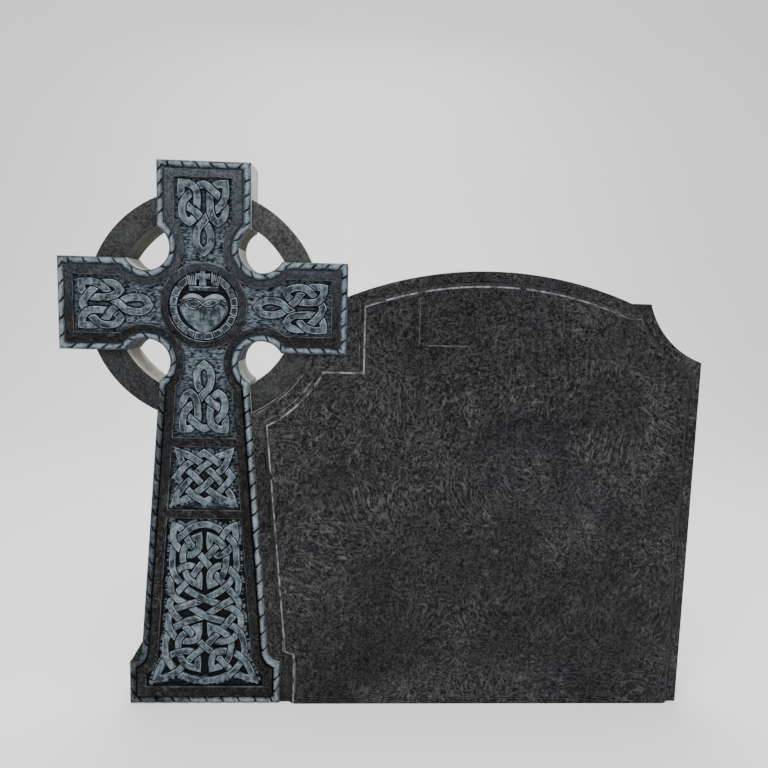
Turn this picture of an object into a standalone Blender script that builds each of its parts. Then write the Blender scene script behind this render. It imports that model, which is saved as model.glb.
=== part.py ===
"""Celtic cross headstone: a ringed cross and a memorial tablet carved from one granite slab.

Lengths are metres and +Z is up. The stone stands on z = 0, its front faces -Y and its
width is centred on x = 0. Its outlines are drawn in the plane of the cross, with x across
and z up from the centre of the medallion, and depths are measured back from the front.
"""
import math

import bmesh
import bpy
from mathutils import Matrix

MM = 0.001

# The slab
THICKNESS = 0.102
CROSS_HEIGHT = 0.7845
TABLET_EDGE = 0.957
RING_STEP = 0.016
BORDER_STEP = 0.0085
OVERRUN = 0.012
STAGGER = 0.001

# The cross, measured from the centre of the medallion
HEAD_TOP = 0.2625
ARM_REACH = 0.2665
ARM_HALF = 0.0855
SCOOP_CENTRE = 0.106
SCOOP_RADIUS = 0.0425
RING_CENTRE = (-0.0014, -0.0016)
RING_OUTER = 0.2175
RING_INNER = 0.1700
SHAFT_HALF = 0.0838
SHAFT_START = -0.143
SHAFT_TAPER = 0.0737
FLARE_CENTRE = (0.148, -0.675)
FLARE_RADIUS = 0.025
BASE_HALF = 0.147
SHOULDER_TOP = -0.655
SHOULDER_FOOT = -0.700
WALL_STEP = 0.0004

# The tablet, measured from the centre of the medallion
TABLET_START = 0.042
ARCH_CENTRE = (0.5407, -0.6352)
ARCH_RADIUS = 0.7146
LEDGE_LEVEL = 0.026
BITE_CENTRE = (1.0077, 0.0713)
BITE_RADIUS = 0.164
TOP_MARGIN = 0.029
SIDE_MARGIN = 0.027
CROSS_MARGIN = 0.033
PANEL_RING = 0.2525
BASE_MARGIN = 0.027
BASE_RISE = 0.0205
BASE_FALL = 0.007
PANEL_SLOPE = 0.0085
UNDERLAP = 0.005

# The rope, the polished band and the sunken grounds
GROUND_DEPTH = 0.007
BAND_ROOT = 0.0119
ROPE_RADIUS = 0.0060
ROPE_CENTRE = 0.0068
ROPE_CREST = 0.0005
ROPE_ROOT = 0.0140
ROPE_FACETS = 4
CUT_HALF = 0.0016
CUT_DEPTH = 0.0060
CUT_LENGTH = 0.0190
CUT_SLANT = 42.0
BAND_INSET = 0.0155
GROUND_INSET = 0.033
GROUND_END_INSET = 0.030
GROUND_SCOOP = 0.0705
MEDALLION_RADIUS = 0.080
NECK_FOOT = -0.248
PLAIT_TOP = -0.266
PLAIT_FOOT = -0.389
LONG_TOP = -0.406
LONG_FOOT = -0.748

# The ribbons
RIBBON_DEPTH = 0.001
RIBBON_GAP = 0.0014
RIBBON_ROOT = 0.0105
RIBBON_TOLERANCE = 0.0008
POINT_SPACING = 0.0008
LOOP_SLACK = 0.97
SAMPLES = 4
HALVINGS = 12
NECK_SHIFT = 0.010

# The medallion
RECESS_RADIUS = 0.067
BLOCK_OUTER = 0.0615
BLOCK_INNER = 0.0505
BLOCK_COUNT = 20
BLOCK_JOINT = 0.0018
BLOCK_DEPTH = 0.002
BLOCK_BEVEL = 0.002
MEDALLION_ROOT = 0.0098
ROOT_STAGGER = 0.0001
CROWN_HALF_ANGLE = 36.0
CROWN_DEPTH = 0.0035
CROWN_BAR_DEPTH = 0.0022
CROWN_CROSS_DEPTH = 0.0012
HEART_DEPTH = 0.001
HEART_BEVEL = 0.005
HEART_SEGMENTS = 2

# How finely curves are divided, in degrees or counts, and the distances taken as touching
ARC_STEP = 15.0
LONG_ARC_STEP = 3.75
MIDDLE_ARC_STEP = 7.5
RING_TURN = 7.2
SCOOP_STEPS = 12
FLARE_STEPS = 3
SAME_LEVEL = 0.0001
FLAT_ANGLE = 0.001
RIM_ANGLE = 1.0
WELD = 0.00001
RIM_WELD = 0.00005
LAST_WELD = 0.00004
LAST_FLATTEN = 0.2
SHARP_ANGLE = 30.0

# Runs of cuts across the rope: first point, step to the next, count and slant in degrees,
# in millimetres from the centre of the medallion
ROPE_RUNS = (
    ((-64.5, 256.2), (26.3, 0.0), 5, 128.0),
    ((68.0, 256.2), (0.0, 0.0), 1, 55.0),
    ((-79.1, 168.5), (0.0, 26.0), 4, 48.0),
    ((79.1, 151.0), (0.0, 26.0), 4, 40.0),
    ((-245.0, 79.1), (27.7, 0.0), 4, 125.0),
    ((-260.1, -61.0), (0.0, 32.0), 5, 50.0),
    ((-239.0, -79.1), (28.3, 0.0), 4, 48.0),
    ((155.5, 79.1), (24.2, 0.0), 5, 55.0),
    ((260.1, -60.0), (0.0, 30.0), 5, 42.0),
    ((171.0, -79.1), (26.5, 0.0), 4, 130.0),
    ((-78.9, -164.0), (-2.42, -32.9), 16, 130.0),
    ((79.2, -168.0), (2.10, -28.5), 9, 42.0),
    ((98.5, -430.0), (2.54, -34.4), 8, 45.0),
    ((140.6, -731.0), (0.0, -24.0), 2, 48.0),
    ((-140.6, -727.0), (0.0, -31.0), 2, 130.0),
    ((-125.0, -778.0), (32.0, 0.0), 9, 128.0),
)

# Cuts round the four scoops: side and height of the scoop, first angle, step and count
SCOOP_RUNS = (
    (-1, 1, 24.0, -36.0, 5),
    (1, 1, 161.0, 29.6, 6),
    (-1, -1, 123.5, -31.7, 6),
    (1, -1, 41.6, 35.7, 6),
)

# A knot is drawn through named points in millimetres. A capital is the point itself and the
# small letter is the same point mirrored to the left. A strand passes over and under in turn
# at the points it shares, and turns sharply at the corners.
ARM_KNOT = {
    "width": 14.0,
    "points": {
        "V": (0.0, 98.5), "H": (11.0, 109.0), "G": (13.3, 126.0), "I": (8.0, 144.5),
        "X": (0.0, 153.0), "J": (5.5, 161.0), "B": (13.5, 170.0), "K": (26.0, 178.0),
        "C": (36.0, 190.0), "L": (40.2, 206.0), "F": (39.2, 222.3), "M": (25.5, 220.5),
        "D": (14.5, 212.0), "N": (11.5, 199.0), "O": (12.0, 184.0), "P": (19.0, 158.0),
        "E": (25.8, 152.3), "Q": (34.5, 158.5), "R": (39.0, 172.0), "S": (28.0, 199.5),
        "T": (8.0, 217.5), "W": (0.0, 220.8),
    },
    "corners": "V F E W",
    "strands": (
        (True, "V h g i X J B K C L F M D N O B P E Q R C S D T W t d s c r q e p b o n d m f l c "
               "k b j X I G H"),
    ),
}

PLAIT = {
    "width": 13.0,
    "points": {
        "A": (17.0, -289.5), "B": (37.0, -305.0), "C": (20.0, -322.0), "D": (38.0, -342.5),
        "E": (22.0, -359.5), "X": (0.0, -303.0), "Y": (0.0, -343.0), "T": (0.0, -277.0),
        "R": (52.5, -324.0), "F": (0.0, -374.0), "P": (48.5, -275.5), "Q": (56.0, -374.5),
        "L": (49.0, -357.0), "M": (35.0, -367.5),
    },
    "corners": "T R F P Q",
    "strands": (
        (True, "T A B R D E F e d r b a"),
        (True, "p a X C D L Q M E Y c b"),
        (False, "P A X c d l q m e Y C B"),
    ),
}

LONG_KNOT = {
    "width": 13.0,
    "points": {
        "A": (37.5, -436.0), "B": (29.7, -453.0), "C": (14.7, -472.0), "X0": (0.0, -489.5),
        "D": (14.8, -509.0), "E": (29.2, -528.5), "F": (41.3, -542.0), "G": (56.5, -455.0),
        "H": (58.0, -518.0), "I": (40.2, -473.5), "J": (39.7, -503.0), "K": (10.6, -441.5),
        "L": (10.6, -539.8), "M": (58.4, -563.0), "X1": (0.0, -568.0), "N": (33.6, -580.6),
        "O": (61.8, -593.2), "X2": (0.0, -602.0), "P": (43.0, -617.5), "Q": (30.5, -633.0),
        "R": (15.7, -649.5), "X3": (0.0, -665.5), "S": (18.0, -680.5), "T": (38.5, -701.0),
        "U": (55.0, -718.0), "V": (66.0, -633.0), "W": (74.0, -690.5), "Y": (50.0, -652.0),
        "Z": (50.0, -676.5), "K2": (10.8, -624.4), "L2": (14.0, -711.5), "P1": (57.5, -420.2),
        "P2": (96.0, -734.0), "P3": (47.5, -425.0), "C1": (27.0, -479.6), "D1": (28.0, -500.6),
        "A1": (47.0, -443.8), "A2": (27.0, -426.5), "A3": (0.0, -417.6),
        "G1": (61.0, -478.0), "G2": (61.5, -500.0), "H1": (65.3, -535.0), "H2": (64.0, -550.0),
        "M1": (67.0, -578.0), "O1": (69.5, -605.0), "O2": (70.0, -620.0), "V1": (75.5, -655.0),
        "V2": (77.0, -675.0), "W1": (87.0, -710.0), "U1": (75.0, -728.0), "U2": (66.0, -704.5),
        "U3": (27.0, -732.8), "U4": (0.0, -736.4),
    },
    "corners": "P1 P2 K L K2 L2",
    "strands": (
        (False, "p1 p3 a b c X0 D E F M M1 O P Q R X3 s t u u1 p2 w1 w z s l2 t z y q k2 r y v o2 o1 o "
                "n X1 F H G2 G1 G A1 A A2 A3 a2 a a1 g g1 g2 h f X1 N O O1 O2 V Y R K2 Q Y Z T L2 S Z "
                "W W1 P2 U1 U T S X3 r q p o m1 m f e d X0 C B A P3 P1 G I C1 C K B I J E L D D1 J H H1 H2 M "
                "N X2 p v v1 v2 w u2 u u3 U4 U3 U U2 W V2 V1 V P X2 n m h2 h1 h j d1 d l e j i b k c c1 "
                "i g"),
    ),
}

HEART_HALF = ((0.0, 10.0), (8.0, 18.5), (21.0, 23.0), (34.0, 19.0), (43.0, 9.0), (45.0, -4.0),
              (39.0, -19.0), (26.0, -34.0), (12.0, -45.5), (0.0, -53.0))
CROWN_HALF = ((26.0, 28.0), (26.0, 36.0), (32.0, 57.0), (17.0, 63.0), (0.0, 65.0))
CROWN_BAR_HALF = ((27.0, 27.5), (27.0, 36.5))
CROSSLET_HALF = ((5.2, 38.0), (4.4, 48.2), (12.0, 47.4), (12.0, 57.6), (4.4, 56.8), (5.2, 63.5))


def clear_scene():
    """Remove every object that is already in the file."""
    for item in list(bpy.data.objects):
        bpy.data.objects.remove(item, do_unlink=True)


def arc(centre, radius, start, end, step=ARC_STEP, count=0):
    """Points along an arc between two angles in degrees, both ends included."""
    count = count or max(1, round(abs(end - start) / step))
    angles = [math.radians(start + (end - start) * i / count) for i in range(count + 1)]
    return [(centre[0] + radius * math.cos(a), centre[1] + radius * math.sin(a)) for a in angles]


def angle_at(centre, point):
    """Direction of a point seen from a centre, in degrees from 0 to 360."""
    return math.degrees(math.atan2(point[1] - centre[1], point[0] - centre[0])) % 360


def mirrored(run):
    """A right hand run closed by its mirror image, points on the middle line taken once."""
    left = [(-x, z) for x, z in reversed(run) if x > MM]
    return list(run) + left


def in_metres(points):
    """A list of points given in millimetres, as metres."""
    return [(x * MM, z * MM) for x, z in points]


def shaft_half(z):
    """Half width of the tapering shaft at the height z."""
    return SHAFT_HALF + SHAFT_TAPER * (SHAFT_START - z)


def scoop_meets(radius, half):
    """Height at which a scoop of this radius meets an upright edge at x = half."""
    return SCOOP_CENTRE + math.sqrt(radius ** 2 - (SCOOP_CENTRE - half) ** 2)


def shaft_corner(radius, inset):
    """The point where the lower scoop meets the inset edge of the shaft."""
    height = scoop_meets(radius, SHAFT_HALF - inset)
    half = shaft_half(-height) - inset
    return half, -scoop_meets(radius, half)


def cross_outline(inset, foot):
    """The outline of the cross moved inwards by inset, with its foot at the height foot."""
    radius = SCOOP_RADIUS + inset
    half = ARM_HALF - inset
    reach = ARM_REACH - inset
    upper = (SCOOP_CENTRE, SCOOP_CENTRE)
    lower = (SCOOP_CENTRE, -SCOOP_CENTRE)
    start = angle_at(upper, (half, scoop_meets(radius, half)))
    end = angle_at(lower, shaft_corner(radius, inset))
    turn = math.degrees(math.acos((FLARE_CENTRE[0] - BASE_HALF + inset) / (FLARE_RADIUS + inset)))
    run = [(half, HEAD_TOP - inset)]
    run += arc(upper, radius, start, 450 - start, count=SCOOP_STEPS)
    run += [(reach, half), (reach, -half)]
    run += arc(lower, radius, start - 90, end, count=SCOOP_STEPS)
    run += arc(FLARE_CENTRE, FLARE_RADIUS + inset, 180, 180 + turn, count=FLARE_STEPS)
    run += [(BASE_HALF - inset, foot)]
    return mirrored(run)


def tablet_outline(foot):
    """The outline of the tablet, running on under the cross on its left."""
    arch_start = ARM_REACH - UNDERLAP
    arch_end = ARCH_CENTRE[0] + math.sqrt(ARCH_RADIUS ** 2 - (LEDGE_LEVEL - ARCH_CENTRE[1]) ** 2)
    ledge_end = BITE_CENTRE[0] - math.sqrt(BITE_RADIUS ** 2 - (LEDGE_LEVEL - BITE_CENTRE[1]) ** 2)
    bite_end = BITE_CENTRE[1] - math.sqrt(BITE_RADIUS ** 2 - (TABLET_EDGE - BITE_CENTRE[0]) ** 2)
    first = math.degrees(math.acos((arch_start - ARCH_CENTRE[0]) / ARCH_RADIUS))
    last = angle_at(ARCH_CENTRE, (arch_end, LEDGE_LEVEL))
    run = [(TABLET_START, foot), (TABLET_START, 0.0), (arch_start, 0.0)]
    run += arc(ARCH_CENTRE, ARCH_RADIUS, first, last, LONG_ARC_STEP)
    run += arc(BITE_CENTRE, BITE_RADIUS, angle_at(BITE_CENTRE, (ledge_end, LEDGE_LEVEL)),
               angle_at(BITE_CENTRE, (TABLET_EDGE, bite_end)), MIDDLE_ARC_STEP)
    run += [(TABLET_EDGE, foot)]
    return run


def panel_outline(grow, foot):
    """The outline of the raised panel, moved outwards by grow."""
    top = TOP_MARGIN - grow
    side = CROSS_MARGIN - grow
    radius = ARCH_RADIUS - top
    bite = BITE_RADIUS + top
    level = LEDGE_LEVEL - top
    left = ARM_REACH + side
    ring = PANEL_RING - grow
    under = ARM_HALF + side
    right = TABLET_EDGE - SIDE_MARGIN + grow
    base = BASE_HALF + BASE_MARGIN - grow
    step = SHOULDER_FOOT + BASE_RISE - grow
    sway = side * math.hypot(1.0, SHAFT_TAPER)
    leaning = shaft_half(0.0) + sway
    slope = 1 + SHAFT_TAPER ** 2
    drop = (leaning * SHAFT_TAPER + math.sqrt(slope * ring ** 2 - leaning ** 2)) / slope
    arch_end = ARCH_CENTRE[0] + math.sqrt(radius ** 2 - (level - ARCH_CENTRE[1]) ** 2)
    ledge_end = BITE_CENTRE[0] - math.sqrt(bite ** 2 - (level - BITE_CENTRE[1]) ** 2)
    bite_end = BITE_CENTRE[1] - math.sqrt(bite ** 2 - (right - BITE_CENTRE[0]) ** 2)
    run = [(base, foot), (base, step), (shaft_half(step) + sway, step + BASE_FALL)]
    run += arc((0.0, 0.0), ring, angle_at((0.0, 0.0), (leaning + SHAFT_TAPER * drop, -drop)),
               360 - math.degrees(math.asin(under / ring)), MIDDLE_ARC_STEP)
    run += [(left, -under)]
    run += arc(ARCH_CENTRE, radius, math.degrees(math.acos((left - ARCH_CENTRE[0]) / radius)),
               angle_at(ARCH_CENTRE, (arch_end, level)), LONG_ARC_STEP)
    run += arc(BITE_CENTRE, bite, angle_at(BITE_CENTRE, (ledge_end, level)),
               angle_at(BITE_CENTRE, (right, bite_end)), MIDDLE_ARC_STEP)
    run += [(right, foot)]
    return run


def arm_ground(end, inset):
    """The sunken ground of one arm, seen as the head of the cross."""
    half = ARM_HALF - inset
    centre = (SCOOP_CENTRE, SCOOP_CENTRE)
    apart = math.hypot(*centre)
    along = (MEDALLION_RADIUS ** 2 - GROUND_SCOOP ** 2 + apart ** 2) / (2 * apart)
    touch = 45 + math.degrees(math.acos(along / MEDALLION_RADIUS))
    meet = arc((0.0, 0.0), MEDALLION_RADIUS, touch, touch)[0]
    run = [(half, end)]
    run += arc(centre, GROUND_SCOOP, angle_at(centre, (half, scoop_meets(GROUND_SCOOP, half))),
               angle_at(centre, meet))
    run += arc((0.0, 0.0), MEDALLION_RADIUS, touch, 90, MIDDLE_ARC_STEP)[1:]
    return mirrored(run)


def neck_ground():
    """The sunken ground below the medallion, which follows the taper of the shaft."""
    corner = shaft_corner(GROUND_SCOOP, GROUND_INSET)
    upper = [(x, -z) for x, z in arm_ground(HEAD_TOP, GROUND_INSET)
             if z < SCOOP_CENTRE and x > SAME_LEVEL]
    centre = (SCOOP_CENTRE, -SCOOP_CENTRE)
    run = [(0.0, -MEDALLION_RADIUS)] + list(reversed(upper))
    run += arc(centre, GROUND_SCOOP, 180, angle_at(centre, corner))
    run += [(shaft_half(NECK_FOOT) - GROUND_INSET, NECK_FOOT)]
    return mirrored(run)


def shaft_ground(top, foot):
    """A sunken ground between two heights of the plain shaft."""
    return mirrored([(shaft_half(top) - GROUND_INSET, top), (shaft_half(foot) - GROUND_INSET, foot)])


def long_ground():
    """The lowest sunken ground, which widens with the flare of the base."""
    radius = FLARE_RADIUS + GROUND_INSET
    turn = math.degrees(math.acos((FLARE_CENTRE[0] - BASE_HALF + GROUND_INSET) / radius))
    run = [(shaft_half(LONG_TOP) - GROUND_INSET, LONG_TOP)]
    run += arc(FLARE_CENTRE, radius, 180, 180 + turn)
    run += [(BASE_HALF - GROUND_INSET, LONG_FOOT)]
    return mirrored(run)


def turned(points, degrees, shift=0.0):
    """Points moved outwards by shift and turned about the centre of the medallion."""
    c = math.cos(math.radians(degrees))
    s = math.sin(math.radians(degrees))
    return [(x * c - (z + shift) * s, x * s + (z + shift) * c) for x, z in points]


def place(knot, name):
    """The point of a knot that a name stands for, mirrored where the name is small."""
    x, z = knot["points"][name.upper()]
    return (x * MM, z * MM) if name[0].isupper() else (-x * MM, z * MM)


def smooth_closed(points, corners):
    """A smooth closed line through the points, broken at the corners."""
    count = len(points)
    tangents = []
    for i in range(count):
        before = points[i - 1]
        here = points[i]
        after = points[(i + 1) % count]
        a = math.dist(before, here)
        b = math.dist(here, after)
        tangents.append([((here[k] - before[k]) * b / a + (after[k] - here[k]) * a / b) / (a + b)
                         for k in range(2)])
    line = []
    for i in range(count):
        j = (i + 1) % count
        p = points[i]
        q = points[j]
        length = math.dist(p, q)
        start = [t * length for t in tangents[i]]
        end = [t * length for t in tangents[j]]
        if i in corners:
            start = [1.5 * (q[k] - p[k]) - 0.5 * end[k] for k in range(2)]
        if j in corners:
            end = [1.5 * (q[k] - p[k]) - 0.5 * start[k] for k in range(2)]
        for n in range(SAMPLES):
            t = n / SAMPLES
            a = 2 * t ** 3 - 3 * t ** 2 + 1
            b = t ** 3 - 2 * t ** 2 + t
            c = 3 * t ** 2 - 2 * t ** 3
            d = t ** 3 - t ** 2
            line.append(tuple(a * p[k] + b * start[k] + c * q[k] + d * end[k] for k in range(2)))
    return line


def unit(p, q):
    """Direction from p to q."""
    length = math.dist(p, q)
    return (q[0] - p[0]) / length, (q[1] - p[1]) / length


def offset_line(line, distance):
    """An open line moved to its left by distance, mitred at its bends and cleaned of loops."""
    moved = []
    for i, point in enumerate(line):
        d0 = unit(line[max(i - 1, 0)], line[max(i, 1)])
        d1 = unit(line[min(i, len(line) - 2)], line[min(i + 1, len(line) - 1)])
        scale = distance / (1 + d0[0] * d1[0] + d0[1] * d1[1])
        moved.append((point[0] - (d0[1] + d1[1]) * scale, point[1] + (d0[0] + d1[0]) * scale))
    near = 3 * SAMPLES
    kept = moved[:1]
    for i, point in enumerate(moved):
        clear = to_line(point, line[max(i - near, 0):i + near]) > LOOP_SLACK * abs(distance)
        if clear and math.dist(point, kept[-1]) > POINT_SPACING:
            kept.append(point)
    return kept


def to_segment(p, a, b):
    """Distance from a point to a segment."""
    dx = b[0] - a[0]
    dz = b[1] - a[1]
    t = ((p[0] - a[0]) * dx + (p[1] - a[1]) * dz) / (dx * dx + dz * dz)
    t = min(1.0, max(0.0, t))
    return math.dist(p, (a[0] + t * dx, a[1] + t * dz))


def to_line(p, line):
    """Distance from a point to an open line."""
    return min(to_segment(p, line[k], line[k + 1]) for k in range(len(line) - 1))


def trim(line, over, distance):
    """The part of a line that has left the over strand behind by the given distance."""
    for i in range(1, len(line)):
        if to_line(line[i - 1], over) <= distance < to_line(line[i], over):
            low = 0.0
            high = 1.0
            for step in range(HALVINGS):
                t = (low + high) / 2
                first = tuple(line[i - 1][k] + t * (line[i][k] - line[i - 1][k]) for k in range(2))
                if to_line(first, over) > distance:
                    high = t
                else:
                    low = t
            return [first] + line[i:]
    return line


def thinned(line, tolerance):
    """The line without the points that lie nearly on the way between their neighbours."""
    if len(line) < 3:
        return line
    far = max(range(1, len(line) - 1), key=lambda i: to_segment(line[i], line[0], line[-1]))
    if to_segment(line[far], line[0], line[-1]) < tolerance:
        return [line[0], line[-1]]
    return thinned(line[:far + 1], tolerance)[:-1] + thinned(line[far:], tolerance)


def ribbon_pieces(knot):
    """The visible lengths of ribbon of a knot, as closed outlines."""
    half = knot["width"] * MM / 2
    corner_names = set(knot["corners"].split())
    runs = [(over, names.split()) for over, names in knot["strands"]]
    every = [name for over, names in runs for name in names]
    lines = []
    overs = {}
    unders = []
    for over, names in runs:
        points = [place(knot, name) for name in names]
        line = smooth_closed(points, {i for i, name in enumerate(names) if name.upper() in corner_names})
        lines.append(line)
        found = []
        for i, name in enumerate(names):
            if every.count(name) < 2:
                continue
            k = i * SAMPLES
            if over:
                near = range(k - SAMPLES - 1, k + SAMPLES + 2)
                overs[name] = [line[n % len(line)] for n in near]
            else:
                found.append((k, name))
            over = not over
        unders.append(found)
    pieces = []
    for line, found in zip(lines, unders):
        for n, (start, first) in enumerate(found):
            end, last = found[(n + 1) % len(found)]
            if end <= start:
                end += len(line)
            part = [line[k % len(line)] for k in range(start, end + 1)]
            sides = []
            for way in (half, 0.0, -half):
                side = offset_line(part, way) if way else part
                for name in (first, last):
                    side = list(reversed(trim(side, overs[name], half + RIBBON_GAP)))
                sides.append(thinned(side, RIBBON_TOLERANCE))
            pieces.append(sides[0] + [sides[1][-1]] + list(reversed(sides[2])) + [sides[1][0]])
    return pieces


def slab(name, outlines, front, back):
    """A flat plate between two depths, filled between its outlines."""
    curve = bpy.data.curves.new(name, "CURVE")
    curve.dimensions = "2D"
    curve.fill_mode = "BOTH"
    curve.extrude = (back - front) / 2
    for outline in outlines:
        spline = curve.splines.new("POLY")
        spline.points.add(len(outline) - 1)
        for point, (x, z) in zip(spline.points, outline):
            point.co = (x, z, 0.0, 1.0)
        spline.use_cyclic_u = True
    drawn = bpy.data.objects.new(name, curve)
    bpy.context.scene.collection.objects.link(drawn)
    bpy.context.view_layer.update()
    evaluated = drawn.evaluated_get(bpy.context.evaluated_depsgraph_get())
    mesh = bpy.data.meshes.new_from_object(evaluated)
    bpy.data.objects.remove(drawn)
    mesh.transform(Matrix.Translation((0.0, (front + back) / 2, 0.0)) @ Matrix.Rotation(math.pi / 2, 4, "X"))
    work = bmesh.new()
    work.from_mesh(mesh)
    bmesh.ops.remove_doubles(work, verts=work.verts, dist=WELD)
    flat = [e for e in work.edges if len(e.link_faces) == 2 and e.calc_face_angle() < FLAT_ANGLE]
    bmesh.ops.dissolve_edges(work, edges=flat, use_verts=False)
    work.to_mesh(mesh)
    work.free()
    return keep(name, mesh)


def keep(name, mesh):
    """An object for a mesh, in the collection for shapes that are joined or cut away."""
    mesh.name = name
    piece = bpy.data.objects.new(name, mesh)
    piece.hide_render = True
    piece.display_type = "WIRE"
    bpy.data.collections["Cutters"].objects.link(piece)
    return piece


def soften_front(piece, depth, width, segments=1):
    """Bevel the rim of a piece's front face, which lies at the given depth."""
    work = bmesh.new()
    work.from_mesh(piece.data)
    rim = [e for e in work.edges
           if all(abs(v.co.y - depth) < SAME_LEVEL for v in e.verts) and e.calc_face_angle() > RIM_ANGLE]
    bmesh.ops.bevel(work, geom=rim, offset=width, segments=segments, profile=0.5, affect="EDGES",
                    clamp_overlap=True)
    bmesh.ops.remove_doubles(work, verts=work.verts, dist=RIM_WELD)
    work.to_mesh(piece.data)
    work.free()


def moulding(name, foot, section):
    """A closed section, given as insets and depths, carried round the outline of the cross."""
    loops = [[(x, depth, z) for x, z in cross_outline(inset, foot + inset)] for inset, depth in section]
    count = len(loops[0])
    points = [p for loop in loops for p in loop]
    faces = []
    for i in range(len(loops)):
        j = (i + 1) % len(loops)
        for k in range(count):
            m = (k + 1) % count
            faces.append((i * count + k, i * count + m, j * count + m, j * count + k))
    mesh = bpy.data.meshes.new(name)
    mesh.from_pydata(points, [], faces)
    work = bmesh.new()
    work.from_mesh(mesh)
    bmesh.ops.recalc_face_normals(work, faces=work.faces)
    work.to_mesh(mesh)
    work.free()
    return keep(name, mesh)


def rope():
    """The half round roll that runs round the outline of the cross."""
    depth = ROPE_RADIUS + ROPE_CREST
    turns = [math.pi * i / ROPE_FACETS for i in range(ROPE_FACETS + 1)]
    section = [(ROPE_CENTRE - ROPE_RADIUS * math.cos(a), depth - ROPE_RADIUS * math.sin(a)) for a in turns]
    section += [(ROPE_CENTRE + ROPE_RADIUS, ROPE_ROOT), (ROPE_CENTRE - ROPE_RADIUS, ROPE_ROOT)]
    return moulding("rope", -CROSS_HEIGHT, section)


def rope_cuts():
    """The slanting cuts across the roll, as one object of sharp edged wedges."""
    places = []
    for first, step, count, slant in ROPE_RUNS:
        places += [((first[0] + step[0] * i) * MM, (first[1] + step[1] * i) * MM, slant)
                   for i in range(count)]
    for side, height, start, step, count in SCOOP_RUNS:
        radius = SCOOP_RADIUS + ROPE_CENTRE
        for i in range(count):
            a = math.radians(start + step * i)
            places.append((side * SCOOP_CENTRE + radius * math.cos(a),
                           height * SCOOP_CENTRE + radius * math.sin(a), math.degrees(a) + CUT_SLANT))
    front = -2 * CUT_HALF
    half = CUT_HALF * (CUT_DEPTH - front) / CUT_DEPTH
    points = []
    faces = []
    for x, z, slant in places:
        c = math.cos(math.radians(slant))
        s = math.sin(math.radians(slant))
        k = len(points)
        for end in (-CUT_LENGTH / 2, CUT_LENGTH / 2):
            for across, depth in ((-half, front), (half, front), (0.0, CUT_DEPTH)):
                points.append((x + end * c - across * s, depth, z + end * s + across * c))
        faces += [(k, k + 1, k + 2), (k + 5, k + 4, k + 3), (k, k + 3, k + 4, k + 1),
                  (k + 1, k + 4, k + 5, k + 2), (k + 2, k + 5, k + 3, k)]
    mesh = bpy.data.meshes.new("rope cuts")
    mesh.from_pydata(points, [], faces)
    work = bmesh.new()
    work.from_mesh(mesh)
    bmesh.ops.recalc_face_normals(work, faces=work.faces)
    work.to_mesh(mesh)
    work.free()
    return keep("rope cuts", mesh)


def blocks():
    """The outlines of the small arch stones round the medallion, left out behind the crown."""
    outlines = []
    pitch = 360 / BLOCK_COUNT
    for i in range(BLOCK_COUNT):
        middle = -90 + pitch * (i + 0.5)
        if abs(middle - 90) < CROWN_HALF_ANGLE:
            continue
        outer = pitch / 2 - math.degrees(BLOCK_JOINT / 2 / BLOCK_OUTER)
        inner = pitch / 2 - math.degrees(BLOCK_JOINT / 2 / BLOCK_INNER)
        outlines.append(arc((0.0, 0.0), BLOCK_OUTER, middle - outer, middle + outer)
                        + arc((0.0, 0.0), BLOCK_INNER, middle + inner, middle - inner))
    return outlines


def boolean(body, tool, operation):
    """Join, cut or keep the common part of two closed meshes and remove the tool."""
    step = body.modifiers.new(operation, "BOOLEAN")
    step.operation = operation
    step.object = tool
    step.solver = "EXACT"
    bpy.context.view_layer.update()
    evaluated = body.evaluated_get(bpy.context.evaluated_depsgraph_get())
    mesh = bpy.data.meshes.new_from_object(evaluated)
    body.modifiers.clear()
    body.data = mesh
    bpy.data.objects.remove(tool)


def tidy(body):
    """Merge stray points and drop edges and points that no shape needs."""
    work = bmesh.new()
    work.from_mesh(body.data)
    bmesh.ops.remove_doubles(work, verts=work.verts, dist=LAST_WELD)
    bmesh.ops.dissolve_limit(work, angle_limit=math.radians(LAST_FLATTEN), verts=work.verts, edges=work.edges)
    bmesh.ops.triangulate(work, faces=[f for f in work.faces if len(f.verts) > 4])
    work.to_mesh(body.data)
    work.free()


def granite():
    """The dark granite that the whole stone is cut from."""
    material = bpy.data.materials.new("granite")
    material.use_nodes = True
    shader = material.node_tree.nodes["Principled BSDF"]
    shader.inputs["Base Color"].default_value = (0.045, 0.048, 0.055, 1.0)
    shader.inputs["Roughness"].default_value = 0.35
    return material


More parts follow.
